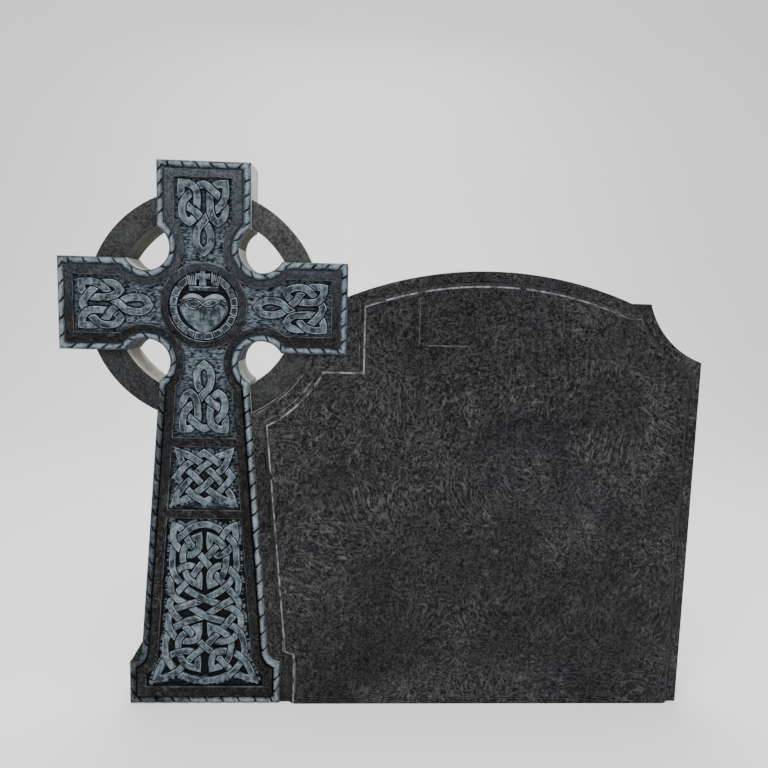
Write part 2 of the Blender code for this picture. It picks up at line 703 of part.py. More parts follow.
def build_slab():
    """The body: the border level of the tablet, the ring, the cross and the left shoulder."""
    foot = -CROSS_HEIGHT - OVERRUN
    back = THICKNESS + OVERRUN
    body = slab("headstone", [tablet_outline(foot)], BORDER_STEP, back)
    disc = slab("disc", [arc(RING_CENTRE, RING_OUTER, 0, 360, RING_TURN)[:-1]], -OVERRUN, back + OVERRUN)
    boolean(body, disc, "DIFFERENCE")
    outer = arc(RING_CENTRE, RING_OUTER + WALL_STEP, 0, 360, RING_TURN)[:-1]
    inner = arc((0.0, 0.0), RING_INNER, 0, 360, RING_TURN)[:-1]
    boolean(body, slab("ring", [outer, inner], RING_STEP, back + STAGGER), "UNION")
    cross = slab("cross", [cross_outline(0.0, foot - STAGGER)], GROUND_DEPTH, back + 2 * STAGGER)
    boolean(body, cross, "UNION")
    shoulder = [(0.0, SHOULDER_TOP), (-shaft_half(SHOULDER_TOP) + STAGGER, SHOULDER_TOP),
                (-BASE_HALF + STAGGER, SHOULDER_FOOT - STAGGER), (0.0, SHOULDER_FOOT - STAGGER)]
    boolean(body, slab("shoulder", [shoulder], RING_STEP, back + 3 * STAGGER), "UNION")
    panel = slab("panel", [panel_outline(PANEL_SLOPE, foot - 2 * STAGGER)], 0.0, BORDER_STEP + OVERRUN)
    soften_front(panel, 0.0, PANEL_SLOPE + WALL_STEP)
    boolean(body, panel, "UNION")
    left = -ARM_REACH - OVERRUN
    right = TABLET_EDGE + OVERRUN
    top = HEAD_TOP + OVERRUN
    block = slab("block", [[(left, -CROSS_HEIGHT), (right, -CROSS_HEIGHT), (right, top), (left, top)]],
                 -OVERRUN, THICKNESS)
    boolean(body, block, "INTERSECT")
    return body


def carve_cross(body):
    """The roped edge, the polished band and the knots on their sunken grounds."""
    end = ARM_REACH - GROUND_END_INSET
    head = arm_ground(HEAD_TOP - GROUND_END_INSET, GROUND_INSET)
    side = arm_ground(end, GROUND_INSET)
    recess = arc((0.0, 0.0), RECESS_RADIUS, 0, 360, RING_TURN)[:-1]
    grounds = [head, turned(side, 90), turned(side, -90), neck_ground(),
               shaft_ground(PLAIT_TOP, PLAIT_FOOT), long_ground(), recess]
    band = cross_outline(BAND_INSET, -CROSS_HEIGHT + BAND_INSET)
    boolean(body, slab("band", [band] + grounds, 0.0, BAND_ROOT), "UNION")
    roll = rope()
    boolean(roll, rope_cuts(), "DIFFERENCE")
    boolean(body, roll, "UNION")
    arm = ribbon_pieces(ARM_KNOT)
    ribbons = [turned(p, 0) for p in arm] + [turned(p, 90) for p in arm] + [turned(p, -90) for p in arm]
    ribbons += [turned(p, 180, NECK_SHIFT) for p in arm]
    ribbons += ribbon_pieces(PLAIT) + ribbon_pieces(LONG_KNOT)
    boolean(body, slab("ribbons", ribbons, RIBBON_DEPTH, RIBBON_ROOT), "UNION")


def carve_medallion(body):
    """The ring of arch stones, the heart and the crown in the middle of the cross."""
    stones = slab("blocks", blocks(), BLOCK_DEPTH, MEDALLION_ROOT)
    soften_front(stones, BLOCK_DEPTH, BLOCK_BEVEL)
    boolean(body, stones, "UNION")
    heart = slab("heart", [mirrored(in_metres(HEART_HALF))], HEART_DEPTH, MEDALLION_ROOT)
    soften_front(heart, HEART_DEPTH, HEART_BEVEL, HEART_SEGMENTS)
    boolean(body, heart, "UNION")
    crown = (("crown", CROWN_HALF, CROWN_DEPTH), ("bar", CROWN_BAR_HALF, CROWN_BAR_DEPTH),
             ("crosslet", CROSSLET_HALF, CROWN_CROSS_DEPTH))
    root = MEDALLION_ROOT
    for name, half, front in crown:
        root += ROOT_STAGGER
        boolean(body, slab(name, [mirrored(in_metres(half))], front, root), "UNION")


def main():
    """Build the stone and set it on the ground."""
    clear_scene()
    for name in ("Headstone", "Cutters"):
        collection = bpy.data.collections.new(name)
        bpy.context.scene.collection.children.link(collection)
    body = build_slab()
    carve_cross(body)
    carve_medallion(body)
    tidy(body)
    middle = (TABLET_EDGE - ARM_REACH) / 2
    body.data.transform(Matrix.Translation((-middle, -THICKNESS / 2, CROSS_HEIGHT)))
    bpy.data.collections["Cutters"].objects.unlink(body)
    bpy.data.collections["Headstone"].objects.link(body)
    body.hide_render = False
    body.display_type = "TEXTURED"
    body.data.shade_smooth()
    body.data.set_sharp_from_angle(angle=math.radians(SHARP_ANGLE))
    body.data.materials.clear()
    body.data.materials.append(granite())


main()
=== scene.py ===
"""Celtic cross headstone: the carved and polished surfaces of the granite monument.

Run as a script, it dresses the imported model. Outlines are drawn in the plane of the cross,
with x across and z up from the centre of the medallion, and depths are measured back from
the front. Constants are metres, and the tables of the rope, the knots and the medallion's
outlines are millimetres from the centre of the medallion.
"""
import math

import bmesh
import bpy
import numpy as np
from bpy.props import FloatProperty, FloatVectorProperty, PointerProperty
from mathutils import Matrix, Vector, kdtree


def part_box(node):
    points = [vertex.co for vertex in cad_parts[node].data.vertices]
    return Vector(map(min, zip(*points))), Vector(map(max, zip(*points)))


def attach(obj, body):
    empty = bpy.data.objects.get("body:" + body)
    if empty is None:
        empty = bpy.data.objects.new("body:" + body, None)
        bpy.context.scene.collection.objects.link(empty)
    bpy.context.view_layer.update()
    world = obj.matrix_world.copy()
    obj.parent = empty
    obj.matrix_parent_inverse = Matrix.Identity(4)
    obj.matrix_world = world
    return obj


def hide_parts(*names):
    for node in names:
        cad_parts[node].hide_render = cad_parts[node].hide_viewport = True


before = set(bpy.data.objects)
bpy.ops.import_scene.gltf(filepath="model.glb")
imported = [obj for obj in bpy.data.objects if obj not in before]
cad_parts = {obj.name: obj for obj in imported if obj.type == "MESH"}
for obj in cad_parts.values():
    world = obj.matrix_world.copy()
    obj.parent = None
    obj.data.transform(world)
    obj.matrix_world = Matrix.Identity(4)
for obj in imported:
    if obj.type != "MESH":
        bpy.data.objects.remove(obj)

bl_info = {
    "name": "Celtic Cross Headstone",
    "version": (1, 0, 0),
    "blender": (4, 5, 0),
    "location": "View3D > Sidebar > Headstone",
    "description": "Carves and finishes a celtic cross headstone in granite",
    "category": "Add Mesh",
}

NODE = "headstone"
MM = 0.001

# The cross, measured from the centre of the medallion
HEAD_TOP = 0.2625
ARM_REACH = 0.2665
ARM_HALF = 0.0855
SCOOP_CENTRE = 0.106
SCOOP_RADIUS = 0.0425
RING_CENTRE = (-0.0014, -0.0016)
RING_OUTER = 0.2175
RING_INNER = 0.1700
SHAFT_HALF = 0.0838
SHAFT_START = -0.143
SHAFT_TAPER = 0.0737
FLARE_CENTRE = (0.148, -0.675)
FLARE_RADIUS = 0.025
BASE_HALF = 0.147
SHOULDER_TOP = -0.655
SHOULDER_FOOT = -0.700

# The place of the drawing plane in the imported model
LOW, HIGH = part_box(NODE)
FRONT = LOW[1]
THICKNESS = HIGH[1] - LOW[1]
MIDDLE = LOW[0] + ARM_REACH
CROSS_HEIGHT = HIGH[2] - HEAD_TOP
TABLET_EDGE = HIGH[0] - MIDDLE

# The tablet
TABLET_START = 0.042
ARCH_CENTRE = (0.5407, -0.6352)
ARCH_RADIUS = 0.7146
LEDGE_LEVEL = 0.026
BITE_CENTRE = (1.0077, 0.0713)
BITE_RADIUS = 0.164
TOP_MARGIN = 0.029
SIDE_MARGIN = 0.027
CROSS_MARGIN = 0.033
PANEL_RING = 0.2525
BASE_MARGIN = 0.027
BASE_RISE = 0.0205
BASE_FALL = 0.007
UNDERLAP = 0.005
RING_LINE = 0.2235
RING_LINE_WIDTH = 0.0018
RING_LINE_TURNS = (-63, -25)

# The roped edge, the polished band and the sunken grounds
ROPE_CENTRE = 0.0068
ROPE_ROOT = 0.014
BAND_INSET = 0.0155
BAND_ROOT = 0.0119
BAND_LINE = 0.004
GROUND_INSET = 0.033
GROUND_END_INSET = 0.030
GROUND_SCOOP = 0.0705
MEDALLION_RADIUS = 0.080
RECESS_RADIUS = 0.065
NECK_FOOT = -0.248
PLAIT_TOP = -0.266
PLAIT_FOOT = -0.389
LONG_TOP = -0.406
LONG_FOOT = -0.748
NECK_SHIFT = 0.010

# How finely curves are divided
ARC_STEP = 2.0          # degrees of an arc between two points
SCOOP_STEPS = 40        # points along a scoop of the cross
FLARE_STEPS = 14        # points along the flare of the base
SAMPLES = 8             # points between two named points of a knot
HALVINGS = 14           # rounds in which the end of a ribbon is found
POINT_GAP = 0.0006      # least distance between two points of an offset line
CLEAR_SHARE = 0.985     # share of its offset that a point keeps outside a loop

# Small distances and turns of the making
OVERRUN = 0.012         # how far bodies run past the ends of the stone before they are cut
STAGGER = 0.001         # how far bodies that are joined run past one another
FILL_TURN = 53.0        # degrees by which a drawing is turned while it is filled
SHARP_CORNER = 0.5      # cosine of the angle below which a corner is sharp
BLUNT = 0.0012          # length cut off each side of a sharp corner
FLAT_TURN = 0.05        # degrees between edges that count as one
RIM_ANGLE = 1.0         # radians between the faces at a rim
SAME_LEVEL = 0.00005    # distance within which a point lies at a depth
WELD = 0.00001          # distance within which points are one

# How faces are told apart on the stone
BACKWARD = 0.9          # least y of the normal of the back
SIDEWAYS = 0.1          # most y of the normal of a side
DOWNWARD = -0.05        # z of the normal below which a side faces downwards
SHOULDER_BACK = 0.018   # depth to which the small step at the left of the base is finished

# The shine of the stone, and the soft edge of a scratch
SHEEN = 0.06
MARK_EDGE = 0.0004

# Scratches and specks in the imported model, each as centre, half size and strength
MARKS = (
    (0.058, 0.765, 0.0007, 0.043, 0.17),
    (0.112, 0.7215, 0.034, 0.0007, 0.27),
    (0.4785, 0.3141, 0.0009, 0.0009, 2.5),
    (-0.193, 0.1190, 0.0008, 0.011, 0.55),
    (-0.168, 0.0560, 0.0008, 0.032, 0.35),
)

# Runs of cuts across the rope: first point, step to the next, count, and slant in degrees
ROPE_RUNS = (
    ((-64.5, 256.2), (26.3, 0.0), 5, 128.0),
    ((68.0, 256.2), (0.0, 0.0), 1, 55.0),
    ((-79.1, 168.5), (0.0, 26.0), 4, 48.0),
    ((79.1, 151.0), (0.0, 26.0), 4, 40.0),
    ((-245.0, 79.1), (27.7, 0.0), 4, 125.0),
    ((-260.1, -61.0), (0.0, 32.0), 5, 50.0),
    ((-239.0, -79.1), (28.3, 0.0), 4, 48.0),
    ((155.5, 79.1), (24.2, 0.0), 5, 55.0),
    ((260.1, -60.0), (0.0, 30.0), 5, 42.0),
    ((171.0, -79.1), (26.5, 0.0), 4, 130.0),
    ((-78.9, -164.0), (-2.42, -32.9), 16, 130.0),
    ((79.2, -168.0), (2.10, -28.5), 9, 42.0),
    ((98.5, -430.0), (2.54, -34.4), 8, 45.0),
    ((140.6, -731.0), (0.0, -24.0), 2, 48.0),
    ((-140.6, -727.0), (0.0, -31.0), 2, 130.0),
    ((-125.0, -778.0), (32.0, 0.0), 9, 128.0),
)

# Cuts round the four scoops: side and height of the scoop, first angle, step and count
SCOOP_SLANT = 42.0      # degrees between a cut and the radius of the scoop
SCOOP_RUNS = (
    (-1, 1, 24.0, -36.0, 5),
    (1, 1, 161.0, 29.6, 6),
    (-1, -1, 123.5, -31.7, 6),
    (1, -1, 41.6, 35.7, 6),
)

# A knot is drawn through named points in millimetres. A capital is the point itself and the
# small letter is the same point mirrored to the left. A strand passes over and under in turn
# at the points it shares, and turns sharply at the corners.
ARM_KNOT = {
    "width": 14.0,
    "points": {
        "V": (0.0, 98.5), "H": (11.0, 109.0), "G": (13.3, 126.0), "I": (8.0, 144.5),
        "X": (0.0, 153.0), "J": (5.5, 161.0), "B": (13.5, 170.0), "K": (26.0, 178.0),
        "C": (36.0, 190.0), "L": (40.2, 206.0), "F": (39.2, 222.3), "M": (25.5, 220.5),
        "D": (14.5, 212.0), "N": (11.5, 199.0), "O": (12.0, 184.0), "P": (19.0, 158.0),
        "E": (25.8, 152.3), "Q": (34.5, 158.5), "R": (39.0, 172.0), "S": (28.0, 199.5),
        "T": (8.0, 217.5), "W": (0.0, 220.8),
    },
    "corners": "V F E W",
    "strands": (
        (True, "V h g i X J B K C L F M D N O B P E Q R C S D T W t d s c r q e p b o n d m f l c "
               "k b j X I G H"),
    ),
}

PLAIT = {
    "width": 13.0,
    "points": {
        "A": (17.0, -289.5), "B": (37.0, -305.0), "C": (20.0, -322.0), "D": (38.0, -342.5),
        "E": (22.0, -359.5), "X": (0.0, -303.0), "Y": (0.0, -343.0), "T": (0.0, -277.0),
        "R": (52.5, -324.0), "F": (0.0, -374.0), "P": (48.5, -275.5), "Q": (56.0, -374.5),
        "L": (49.0, -357.0), "M": (35.0, -367.5),
    },
    "corners": "T R F P Q",
    "strands": (
        (True, "T A B R D E F e d r b a"),
        (True, "p a X C D L Q M E Y c b"),
        (False, "P A X c d l q m e Y C B"),
    ),
}

LONG_KNOT = {
    "width": 13.0,
    "points": {
        "A": (37.5, -436.0), "B": (29.7, -453.0), "C": (14.7, -472.0), "X0": (0.0, -489.5),
        "D": (14.8, -509.0), "E": (29.2, -528.5), "F": (41.3, -542.0), "G": (56.5, -455.0),
        "H": (58.0, -518.0), "I": (40.2, -473.5), "J": (39.7, -503.0), "K": (10.6, -441.5),
        "L": (10.6, -539.8), "M": (58.4, -563.0), "X1": (0.0, -568.0), "N": (33.6, -580.6),
        "O": (61.8, -593.2), "X2": (0.0, -602.0), "P": (43.0, -617.5), "Q": (30.5, -633.0),
        "R": (15.7, -649.5), "X3": (0.0, -665.5), "S": (18.0, -680.5), "T": (38.5, -701.0),
        "U": (55.0, -718.0), "V": (66.0, -633.0), "W": (74.0, -690.5), "Y": (50.0, -652.0),
        "Z": (50.0, -676.5), "K2": (10.8, -624.4), "L2": (14.0, -711.5), "P1": (57.5, -420.2),
        "P2": (96.0, -734.0), "P3": (47.5, -425.0), "C1": (27.0, -479.6), "D1": (28.0, -500.6),
        "A1": (47.0, -443.8), "A2": (27.0, -426.5), "A3": (0.0, -417.6),
        "G1": (61.0, -478.0), "G2": (61.5, -500.0), "H1": (65.3, -535.0), "H2": (64.0, -550.0),
        "M1": (67.0, -578.0), "O1": (69.5, -605.0), "O2": (70.0, -620.0), "V1": (75.5, -655.0),
        "V2": (77.0, -675.0), "W1": (87.0, -710.0), "U1": (75.0, -728.0), "U2": (66.0, -704.5),
        "U3": (27.0, -732.8), "U4": (0.0, -736.4),
    },
    "corners": "P1 P2 K L K2 L2",
    "strands": (
        (False, "p1 p3 a b c X0 D E F M M1 O P Q R X3 s t u u1 p2 w1 w z s l2 t z y q k2 r y v o2 o1 o "
                "n X1 F H G2 G1 G A1 A A2 A3 a2 a a1 g g1 g2 h f X1 N O O1 O2 V Y R K2 Q Y Z T L2 S Z "
                "W W1 P2 U1 U T S X3 r q p o m1 m f e d X0 C B A P3 P1 G I C1 C K B I J E L D D1 J H H1 H2 M "
                "N X2 p v v1 v2 w u2 u u3 U4 U3 U U2 W V2 V1 V P X2 n m h2 h1 h j d1 d l e j i b k c c1 "
                "i g"),
    ),
}

# The arch stones round the medallion
STONE_COUNT = 20        # stones of a full circle
STONE_FACE = 0.002      # depth of their faces
STONE_BEVEL = 0.0019    # width of their bevels
CROWN_SPREAD = 36.0     # degrees from the top within which no stone is cut
CROWN_BESIDE = 50.0     # degrees from the top within which a stone runs on behind the crown

# Each side of an arch stone: radius, half the gap in radians, and its end beside the crown
STONE_SIDES = ((0.0627, 0.0128, 59.0), (0.0496, 0.0160, 53.0))

# The heart and crown as right halves, the wreath's strands, and its eyes as middle and half size
HEART_HALF = ((0.0, 14.0), (3.5, 16.8), (8.5, 19.8), (15.0, 22.5), (21.0, 23.2), (28.0, 22.2),
              (34.5, 18.8), (40.0, 13.4), (43.6, 7.0), (45.0, 0.0), (44.4, -7.0), (41.5, -15.0),
              (36.0, -23.5), (28.5, -32.0), (19.5, -40.5), (10.0, -48.0), (4.0, -52.5), (0.0, -56.0))
CROWN_BAR_HALF = ((27.0, 27.5), (27.0, 36.5))
CROWN_LIP_HALF = ((26.5, 33.9), (26.5, 35.6))
CROSSLET_HALF = ((6.6, 38.0), (5.4, 49.6), (12.8, 49.2), (12.8, 59.6), (5.0, 60.0), (4.6, 64.4))
CROSSLET_SHIFT = -1.5
BRAID_OVER = ((-46.6, 0.8), (-39.9, 4.5), (-29.5, 10.7), (-23.3, 12.2), (-16.0, 11.7), (-8.8, 8.6),
              (-0.5, 1.9), (9.8, -0.4), (17.0, 1.7), (23.3, 5.5), (29.5, 9.1), (35.7, 10.4), (42.5, 9.6))
BRAID_UNDER = ((-43.5, 9.5), (-38.0, 8.0), (-33.5, 4.5), (-31.6, 1.9), (-27.4, -2.5), (-20.2, -5.4),
               (-12.9, -5.2), (-5.7, -1.8), (-1.0, 2.0), (2.6, 6.5), (8.8, 10.1), (16.0, 11.7),
               (22.3, 10.1), (27.4, 7.0), (32.6, 3.4), (37.8, 0.8), (44.0, -1.2))
EYES = ((-17.0, 3.4, 8.5, 3.1), (13.5, 6.2, 7.5, 2.5))

# The crown's flutes in millimetres, where a pair is the first one and the step to the next
FLUTES = 5
FLUTE_FOOT = 37.8         # level of all the feet
FLUTE_LOW = (14.5, 2.9)   # how far out the foot stands
FLUTE_HIGH = (15.5, 3.8)  # how far out the tip stands
FLUTE_TOP = (61.5, -1.5)  # level of the tip
FLUTE_DROP = 2.0          # how much lower every other tip is


def srgb(red, green, blue):
    """A colour given in screen values from 0 to 255, as linear light."""
    return tuple((v / 255 / 12.92) if v < 10.3 else ((v / 255 + 0.055) / 1.055) ** 2.4
                 for v in (red, green, blue))


# Tints that lie within a finish
COLD_CAST = srgb(28, 32, 40)
WARM_CAST = srgb(38, 31, 32)
PITS = srgb(6, 6, 7)
BAND_DUST = srgb(92, 101, 108)
BACK_LOW = srgb(70, 71, 73)
BACK_HIGH = srgb(126, 126, 125)
BACK_KERF = srgb(56, 56, 59)
BACK_STREAK = srgb(152, 150, 144)
FLOOR_MOTTLE = srgb(225, 225, 225)

# Material slots of the stone's own body; the narrow channel and the walls that face downwards are painted
# with shade
POLISHED, ARRIS, HONED, CHANNEL_SHADE, SIDE, BACK, SHADED_UNDERSIDE = range(7)


def length(name, text, default):
    """A length that the sidebar shows in the scene's units."""
    return FloatProperty(name=name, description=text, default=default, min=0.0, unit="LENGTH")


def colour(name, text, default):
    """A colour that the sidebar shows as a swatch."""
    return FloatVectorProperty(name=name, description=text, default=default, size=3, min=0.0, max=1.0,
                               subtype="COLOR")


class HeadstoneSizes(bpy.types.PropertyGroup):
    """Depths and widths of the carving."""
    ring_step: length("Ring step", "Depth of the ring's face behind the front", 0.016)
    border_step: length("Border step", "Depth of the tablet's border behind its panel", 0.0085)
    ground: length("Ground depth", "Depth of the sunken grounds", 0.007)
    stipple: length("Stipple height", "Height of the tool marks on the grounds", 0.0011)
    ground_grid: length("Ground grid", "Spacing of the points that model the tool marks", 0.0013)
    rope_radius: length("Rope radius", "Radius of the roll round the edge of the cross", 0.006)
    rope_crest: length("Rope crest", "Depth of the highest line of the roll", 0.0005)
    rope_cut: length("Rope cut", "Depth of the slanting cuts across the roll", 0.0034)
    rope_cut_half: length("Rope cut half width", "Half the width of a cut at the surface", 0.0019)
    ribbon: length("Ribbon depth", "Depth of the ribbon faces behind the front", 0.001)
    ribbon_gap: length("Ribbon gap", "Gap between a ribbon and the one that passes over it", 0.0026)
    ribbon_trim: length("Ribbon trim", "Stone dressed off each side of a ribbon", 0.0006)
    ribbon_round: length("Ribbon rounding", "Width of the softened edge of a ribbon", 0.0011)
    arris: length("Arris", "Width of the worn arris along polished edges", 0.0012)
    panel_arris: length("Panel arris", "Width of the worn arris round the raised panel", 0.0018)
    heart_round: length("Heart rounding", "Width of the heart's rounded rim", 0.008)


class HeadstoneColours(bpy.types.PropertyGroup):
    """Colours of the stone's finishes."""
    dark: colour("Polished granite", "Darkest mineral of the polished face", srgb(1, 1, 1))
    mid: colour("Granite ground mass", "Middle tone of the polished face", srgb(62, 61, 62))
    band: colour("Band", "Middle tone of the polished band of the cross", srgb(40, 40, 41))
    vein: colour("Vein", "Fine pale lines in the polished face", srgb(100, 100, 100))
    honed: colour("Honed ring", "Unpolished face of the ring", srgb(56, 57, 58))
    dressed: colour("Dressed carving", "Light face of ribbons, rope and heart", srgb(127, 140, 149))
    dressed_low: colour("Dressed carving, low", "Darker strokes in the carving", srgb(36, 42, 46))
    # Painted highlight on the edges and beads of the carving
    edge_highlight: colour("Highlighted edge", "Brightest edges of the carving", srgb(156, 169, 178))
    # The arris colour is bruised stone with a painted highlight along polished edges, and the colour of the
    # scratches
    arris: colour("Arris", "Bruised light line along sharp edges", srgb(140, 143, 147))
    ground_low: colour("Ground, low", "Bottom of the tool marks", srgb(14, 15, 17))
    ground_high: colour("Ground, high", "Tops of the tool marks", srgb(108, 121, 131))
    sawn: colour("Sawn side", "Pale unpolished side of the slab", srgb(206, 202, 192))
    sawn_low: colour("Sawn side, stained", "Stained part of the sides", srgb(132, 130, 122))
    # Painted shade: the darker copy of the sawn side that walls facing downwards take
    shaded_side: colour("Shaded side", "Shadowed sides that face downwards", srgb(99, 98, 91))
    shaded_side_low: colour("Shaded side, stained", "Darkest of the downward sides", srgb(46, 46, 43))
    floor: colour("Floor", "Plain studio floor", srgb(247, 247, 247))


def arc(centre, radius, start, end, step=ARC_STEP, count=0):
    """Points along an arc between two angles in degrees, both ends included."""
    count = count or max(1, round(abs(end - start) / step))
    angles = [math.radians(start + (end - start) * i / count) for i in range(count + 1)]
    return [(centre[0] + radius * math.cos(a), centre[1] + radius * math.sin(a)) for a in angles]


def circle(centre, radius):
    """A closed circle."""
    return arc(centre, radius, 0, 360)[:-1]


def chord(radius, distance):
    """Half the chord of a circle that lies at a distance from its centre."""
    return math.sqrt(radius ** 2 - distance ** 2)


def angle_at(centre, point):
    """Direction of a point seen from a centre, in degrees from 0 to 360."""
    return math.degrees(math.atan2(point[1] - centre[1], point[0] - centre[0])) % 360


def mirrored(run):
    """A right hand run closed by its mirror image, points on the middle line taken once."""
    left = [(-x, z) for x, z in reversed(run) if x > MM]
    return list(run) + left


def in_metres(points):
    """A list of points given in millimetres, as metres."""
    return [(x * MM, z * MM) for x, z in points]


def both_halves(points):
    """A closed outline in metres from the points of its right half in millimetres."""
    return mirrored(in_metres(points))


def shaft_half(z):
    """Half width of the tapering shaft at the height z."""
    return SHAFT_HALF + SHAFT_TAPER * (SHAFT_START - z)


def scoop_meets(radius, half):
    """Height at which a scoop of this radius meets an upright edge at x = half."""
    return SCOOP_CENTRE + chord(radius, SCOOP_CENTRE - half)


def shaft_corner(radius, inset):
    """The point where the lower scoop meets the inset edge of the shaft."""
    height = scoop_meets(radius, SHAFT_HALF - inset)
    half = shaft_half(-height) - inset
    return half, -scoop_meets(radius, half)


def cross_outline(inset, foot):
    """The outline of the cross moved inwards by inset, with its foot at the height foot."""
    radius = SCOOP_RADIUS + inset
    half = ARM_HALF - inset
    reach = ARM_REACH - inset
    upper = (SCOOP_CENTRE, SCOOP_CENTRE)
    lower = (SCOOP_CENTRE, -SCOOP_CENTRE)
    start = angle_at(upper, (half, scoop_meets(radius, half)))
    end = angle_at(lower, shaft_corner(radius, inset))
    turn = math.degrees(math.acos((FLARE_CENTRE[0] - BASE_HALF + inset) / (FLARE_RADIUS + inset)))
    run = [(half, HEAD_TOP - inset)]
    run += arc(upper, radius, start, 450 - start, count=SCOOP_STEPS)
    run += [(reach, half), (reach, -half)]
    run += arc(lower, radius, start - 90, end, count=SCOOP_STEPS)
    run += arc(FLARE_CENTRE, FLARE_RADIUS + inset, 180, 180 + turn, count=FLARE_STEPS)
    run += [(BASE_HALF - inset, foot)]
    return mirrored(run)


def tablet_outline(foot):
    """The outline of the tablet, which runs on under the cross and stops at the ring."""
    arch_start = ARM_REACH - UNDERLAP
    arch_end = ARCH_CENTRE[0] + chord(ARCH_RADIUS, LEDGE_LEVEL - ARCH_CENTRE[1])
    ledge_end = BITE_CENTRE[0] - chord(BITE_RADIUS, LEDGE_LEVEL - BITE_CENTRE[1])
    bite_end = BITE_CENTRE[1] - chord(BITE_RADIUS, TABLET_EDGE - BITE_CENTRE[0])
    first = math.degrees(math.acos((arch_start - ARCH_CENTRE[0]) / ARCH_RADIUS))
    under = -math.degrees(math.acos((TABLET_START - RING_CENTRE[0]) / RING_OUTER))
    run = [(TABLET_START, foot)]
    run += arc(RING_CENTRE, RING_OUTER, under, 0.0)
    run += [(arch_start, 0.0)]
    run += arc(ARCH_CENTRE, ARCH_RADIUS, first, angle_at(ARCH_CENTRE, (arch_end, LEDGE_LEVEL)), ARC_STEP / 2)
    run += arc(BITE_CENTRE, BITE_RADIUS, angle_at(BITE_CENTRE, (ledge_end, LEDGE_LEVEL)),
               angle_at(BITE_CENTRE, (TABLET_EDGE, bite_end)))
    run += [(TABLET_EDGE, foot)]
    return run


def panel_outline(grow, foot):
    """The outline of the raised panel, moved outwards by grow."""
    top = TOP_MARGIN - grow
    side = CROSS_MARGIN - grow
    radius = ARCH_RADIUS - top
    bite = BITE_RADIUS + top
    level = LEDGE_LEVEL - top
    left = ARM_REACH + side
    ring = PANEL_RING - grow
    under = ARM_HALF + side
    right = TABLET_EDGE - SIDE_MARGIN + grow
    base = BASE_HALF + BASE_MARGIN - grow
    step = SHOULDER_FOOT + BASE_RISE - grow
    sway = side * math.hypot(1.0, SHAFT_TAPER)
    leaning = shaft_half(0.0) + sway
    slope = 1 + SHAFT_TAPER ** 2
    drop = (leaning * SHAFT_TAPER + math.sqrt(slope * ring ** 2 - leaning ** 2)) / slope
    arch_end = ARCH_CENTRE[0] + chord(radius, level - ARCH_CENTRE[1])
    ledge_end = BITE_CENTRE[0] - chord(bite, level - BITE_CENTRE[1])
    bite_end = BITE_CENTRE[1] - chord(bite, right - BITE_CENTRE[0])
    run = [(base, foot), (base, step), (shaft_half(step) + sway, step + BASE_FALL)]
    run += arc((0.0, 0.0), ring, angle_at((0.0, 0.0), (leaning + SHAFT_TAPER * drop, -drop)),
               360 - math.degrees(math.asin(under / ring)))
    run += [(left, -under)]
    run += arc(ARCH_CENTRE, radius, math.degrees(math.acos((left - ARCH_CENTRE[0]) / radius)),
               angle_at(ARCH_CENTRE, (arch_end, level)), ARC_STEP / 2)
    run += arc(BITE_CENTRE, bite, angle_at(BITE_CENTRE, (ledge_end, level)),
               angle_at(BITE_CENTRE, (right, bite_end)))
    run += [(right, foot)]
    return run


def arm_ground(end, inset):
    """The sunken ground of one arm, seen as the head of the cross."""
    half = ARM_HALF - inset
    centre = (SCOOP_CENTRE, SCOOP_CENTRE)
    apart = math.hypot(*centre)
    along = (MEDALLION_RADIUS ** 2 - GROUND_SCOOP ** 2 + apart ** 2) / (2 * apart)
    touch = 45 + math.degrees(math.acos(along / MEDALLION_RADIUS))
    meet = arc((0.0, 0.0), MEDALLION_RADIUS, touch, touch)[0]
    run = [(half, end)]
    run += arc(centre, GROUND_SCOOP, angle_at(centre, (half, scoop_meets(GROUND_SCOOP, half))),
               angle_at(centre, meet))
    run += arc((0.0, 0.0), MEDALLION_RADIUS, touch, 90)[1:]
    return mirrored(run)


def neck_ground():
    """The sunken ground below the medallion, which follows the taper of the shaft."""
    corner = shaft_corner(GROUND_SCOOP, GROUND_INSET)
    upper = [(x, -z) for x, z in arm_ground(HEAD_TOP, GROUND_INSET) if z < SCOOP_CENTRE and x > SAME_LEVEL]
    centre = (SCOOP_CENTRE, -SCOOP_CENTRE)
    run = [(0.0, -MEDALLION_RADIUS)] + list(reversed(upper))
    run += arc(centre, GROUND_SCOOP, 180, angle_at(centre, corner))[1:]
    run += [(shaft_half(NECK_FOOT) - GROUND_INSET, NECK_FOOT)]
    return mirrored(run)


def shaft_ground(top, foot):
    """A sunken ground between two heights of the plain shaft."""
    return mirrored([(shaft_half(top) - GROUND_INSET, top), (shaft_half(foot) - GROUND_INSET, foot)])


def long_ground():
    """The lowest sunken ground, which widens with the flare of the base."""
    radius = FLARE_RADIUS + GROUND_INSET
    turn = math.degrees(math.acos((FLARE_CENTRE[0] - BASE_HALF + GROUND_INSET) / radius))
    run = [(shaft_half(LONG_TOP) - GROUND_INSET, LONG_TOP)]
    run += arc(FLARE_CENTRE, radius, 180, 180 + turn)
    run += [(BASE_HALF - GROUND_INSET, LONG_FOOT)]
    return mirrored(run)


def turned(points, degrees, shift=0.0):
    """Points moved outwards by shift and turned about the centre of the medallion."""
    c = math.cos(math.radians(degrees))
    s = math.sin(math.radians(degrees))
    return [(x * c - (z + shift) * s, x * s + (z + shift) * c) for x, z in points]


def blunted(outline):
    """An outline with the tips of its sharp corners cut off."""
    points = []
    for before, point, after in zip(outline[-1:] + outline[:-1], outline, outline[1:] + outline[:1]):
        back = Vector(before) - Vector(point)
        ahead = Vector(after) - Vector(point)
        if back.normalized().dot(ahead.normalized()) > SHARP_CORNER:
            points += [tuple(Vector(point) + side.normalized() * BLUNT) for side in (back, ahead)]
        else:
            points.append(point)
    return points


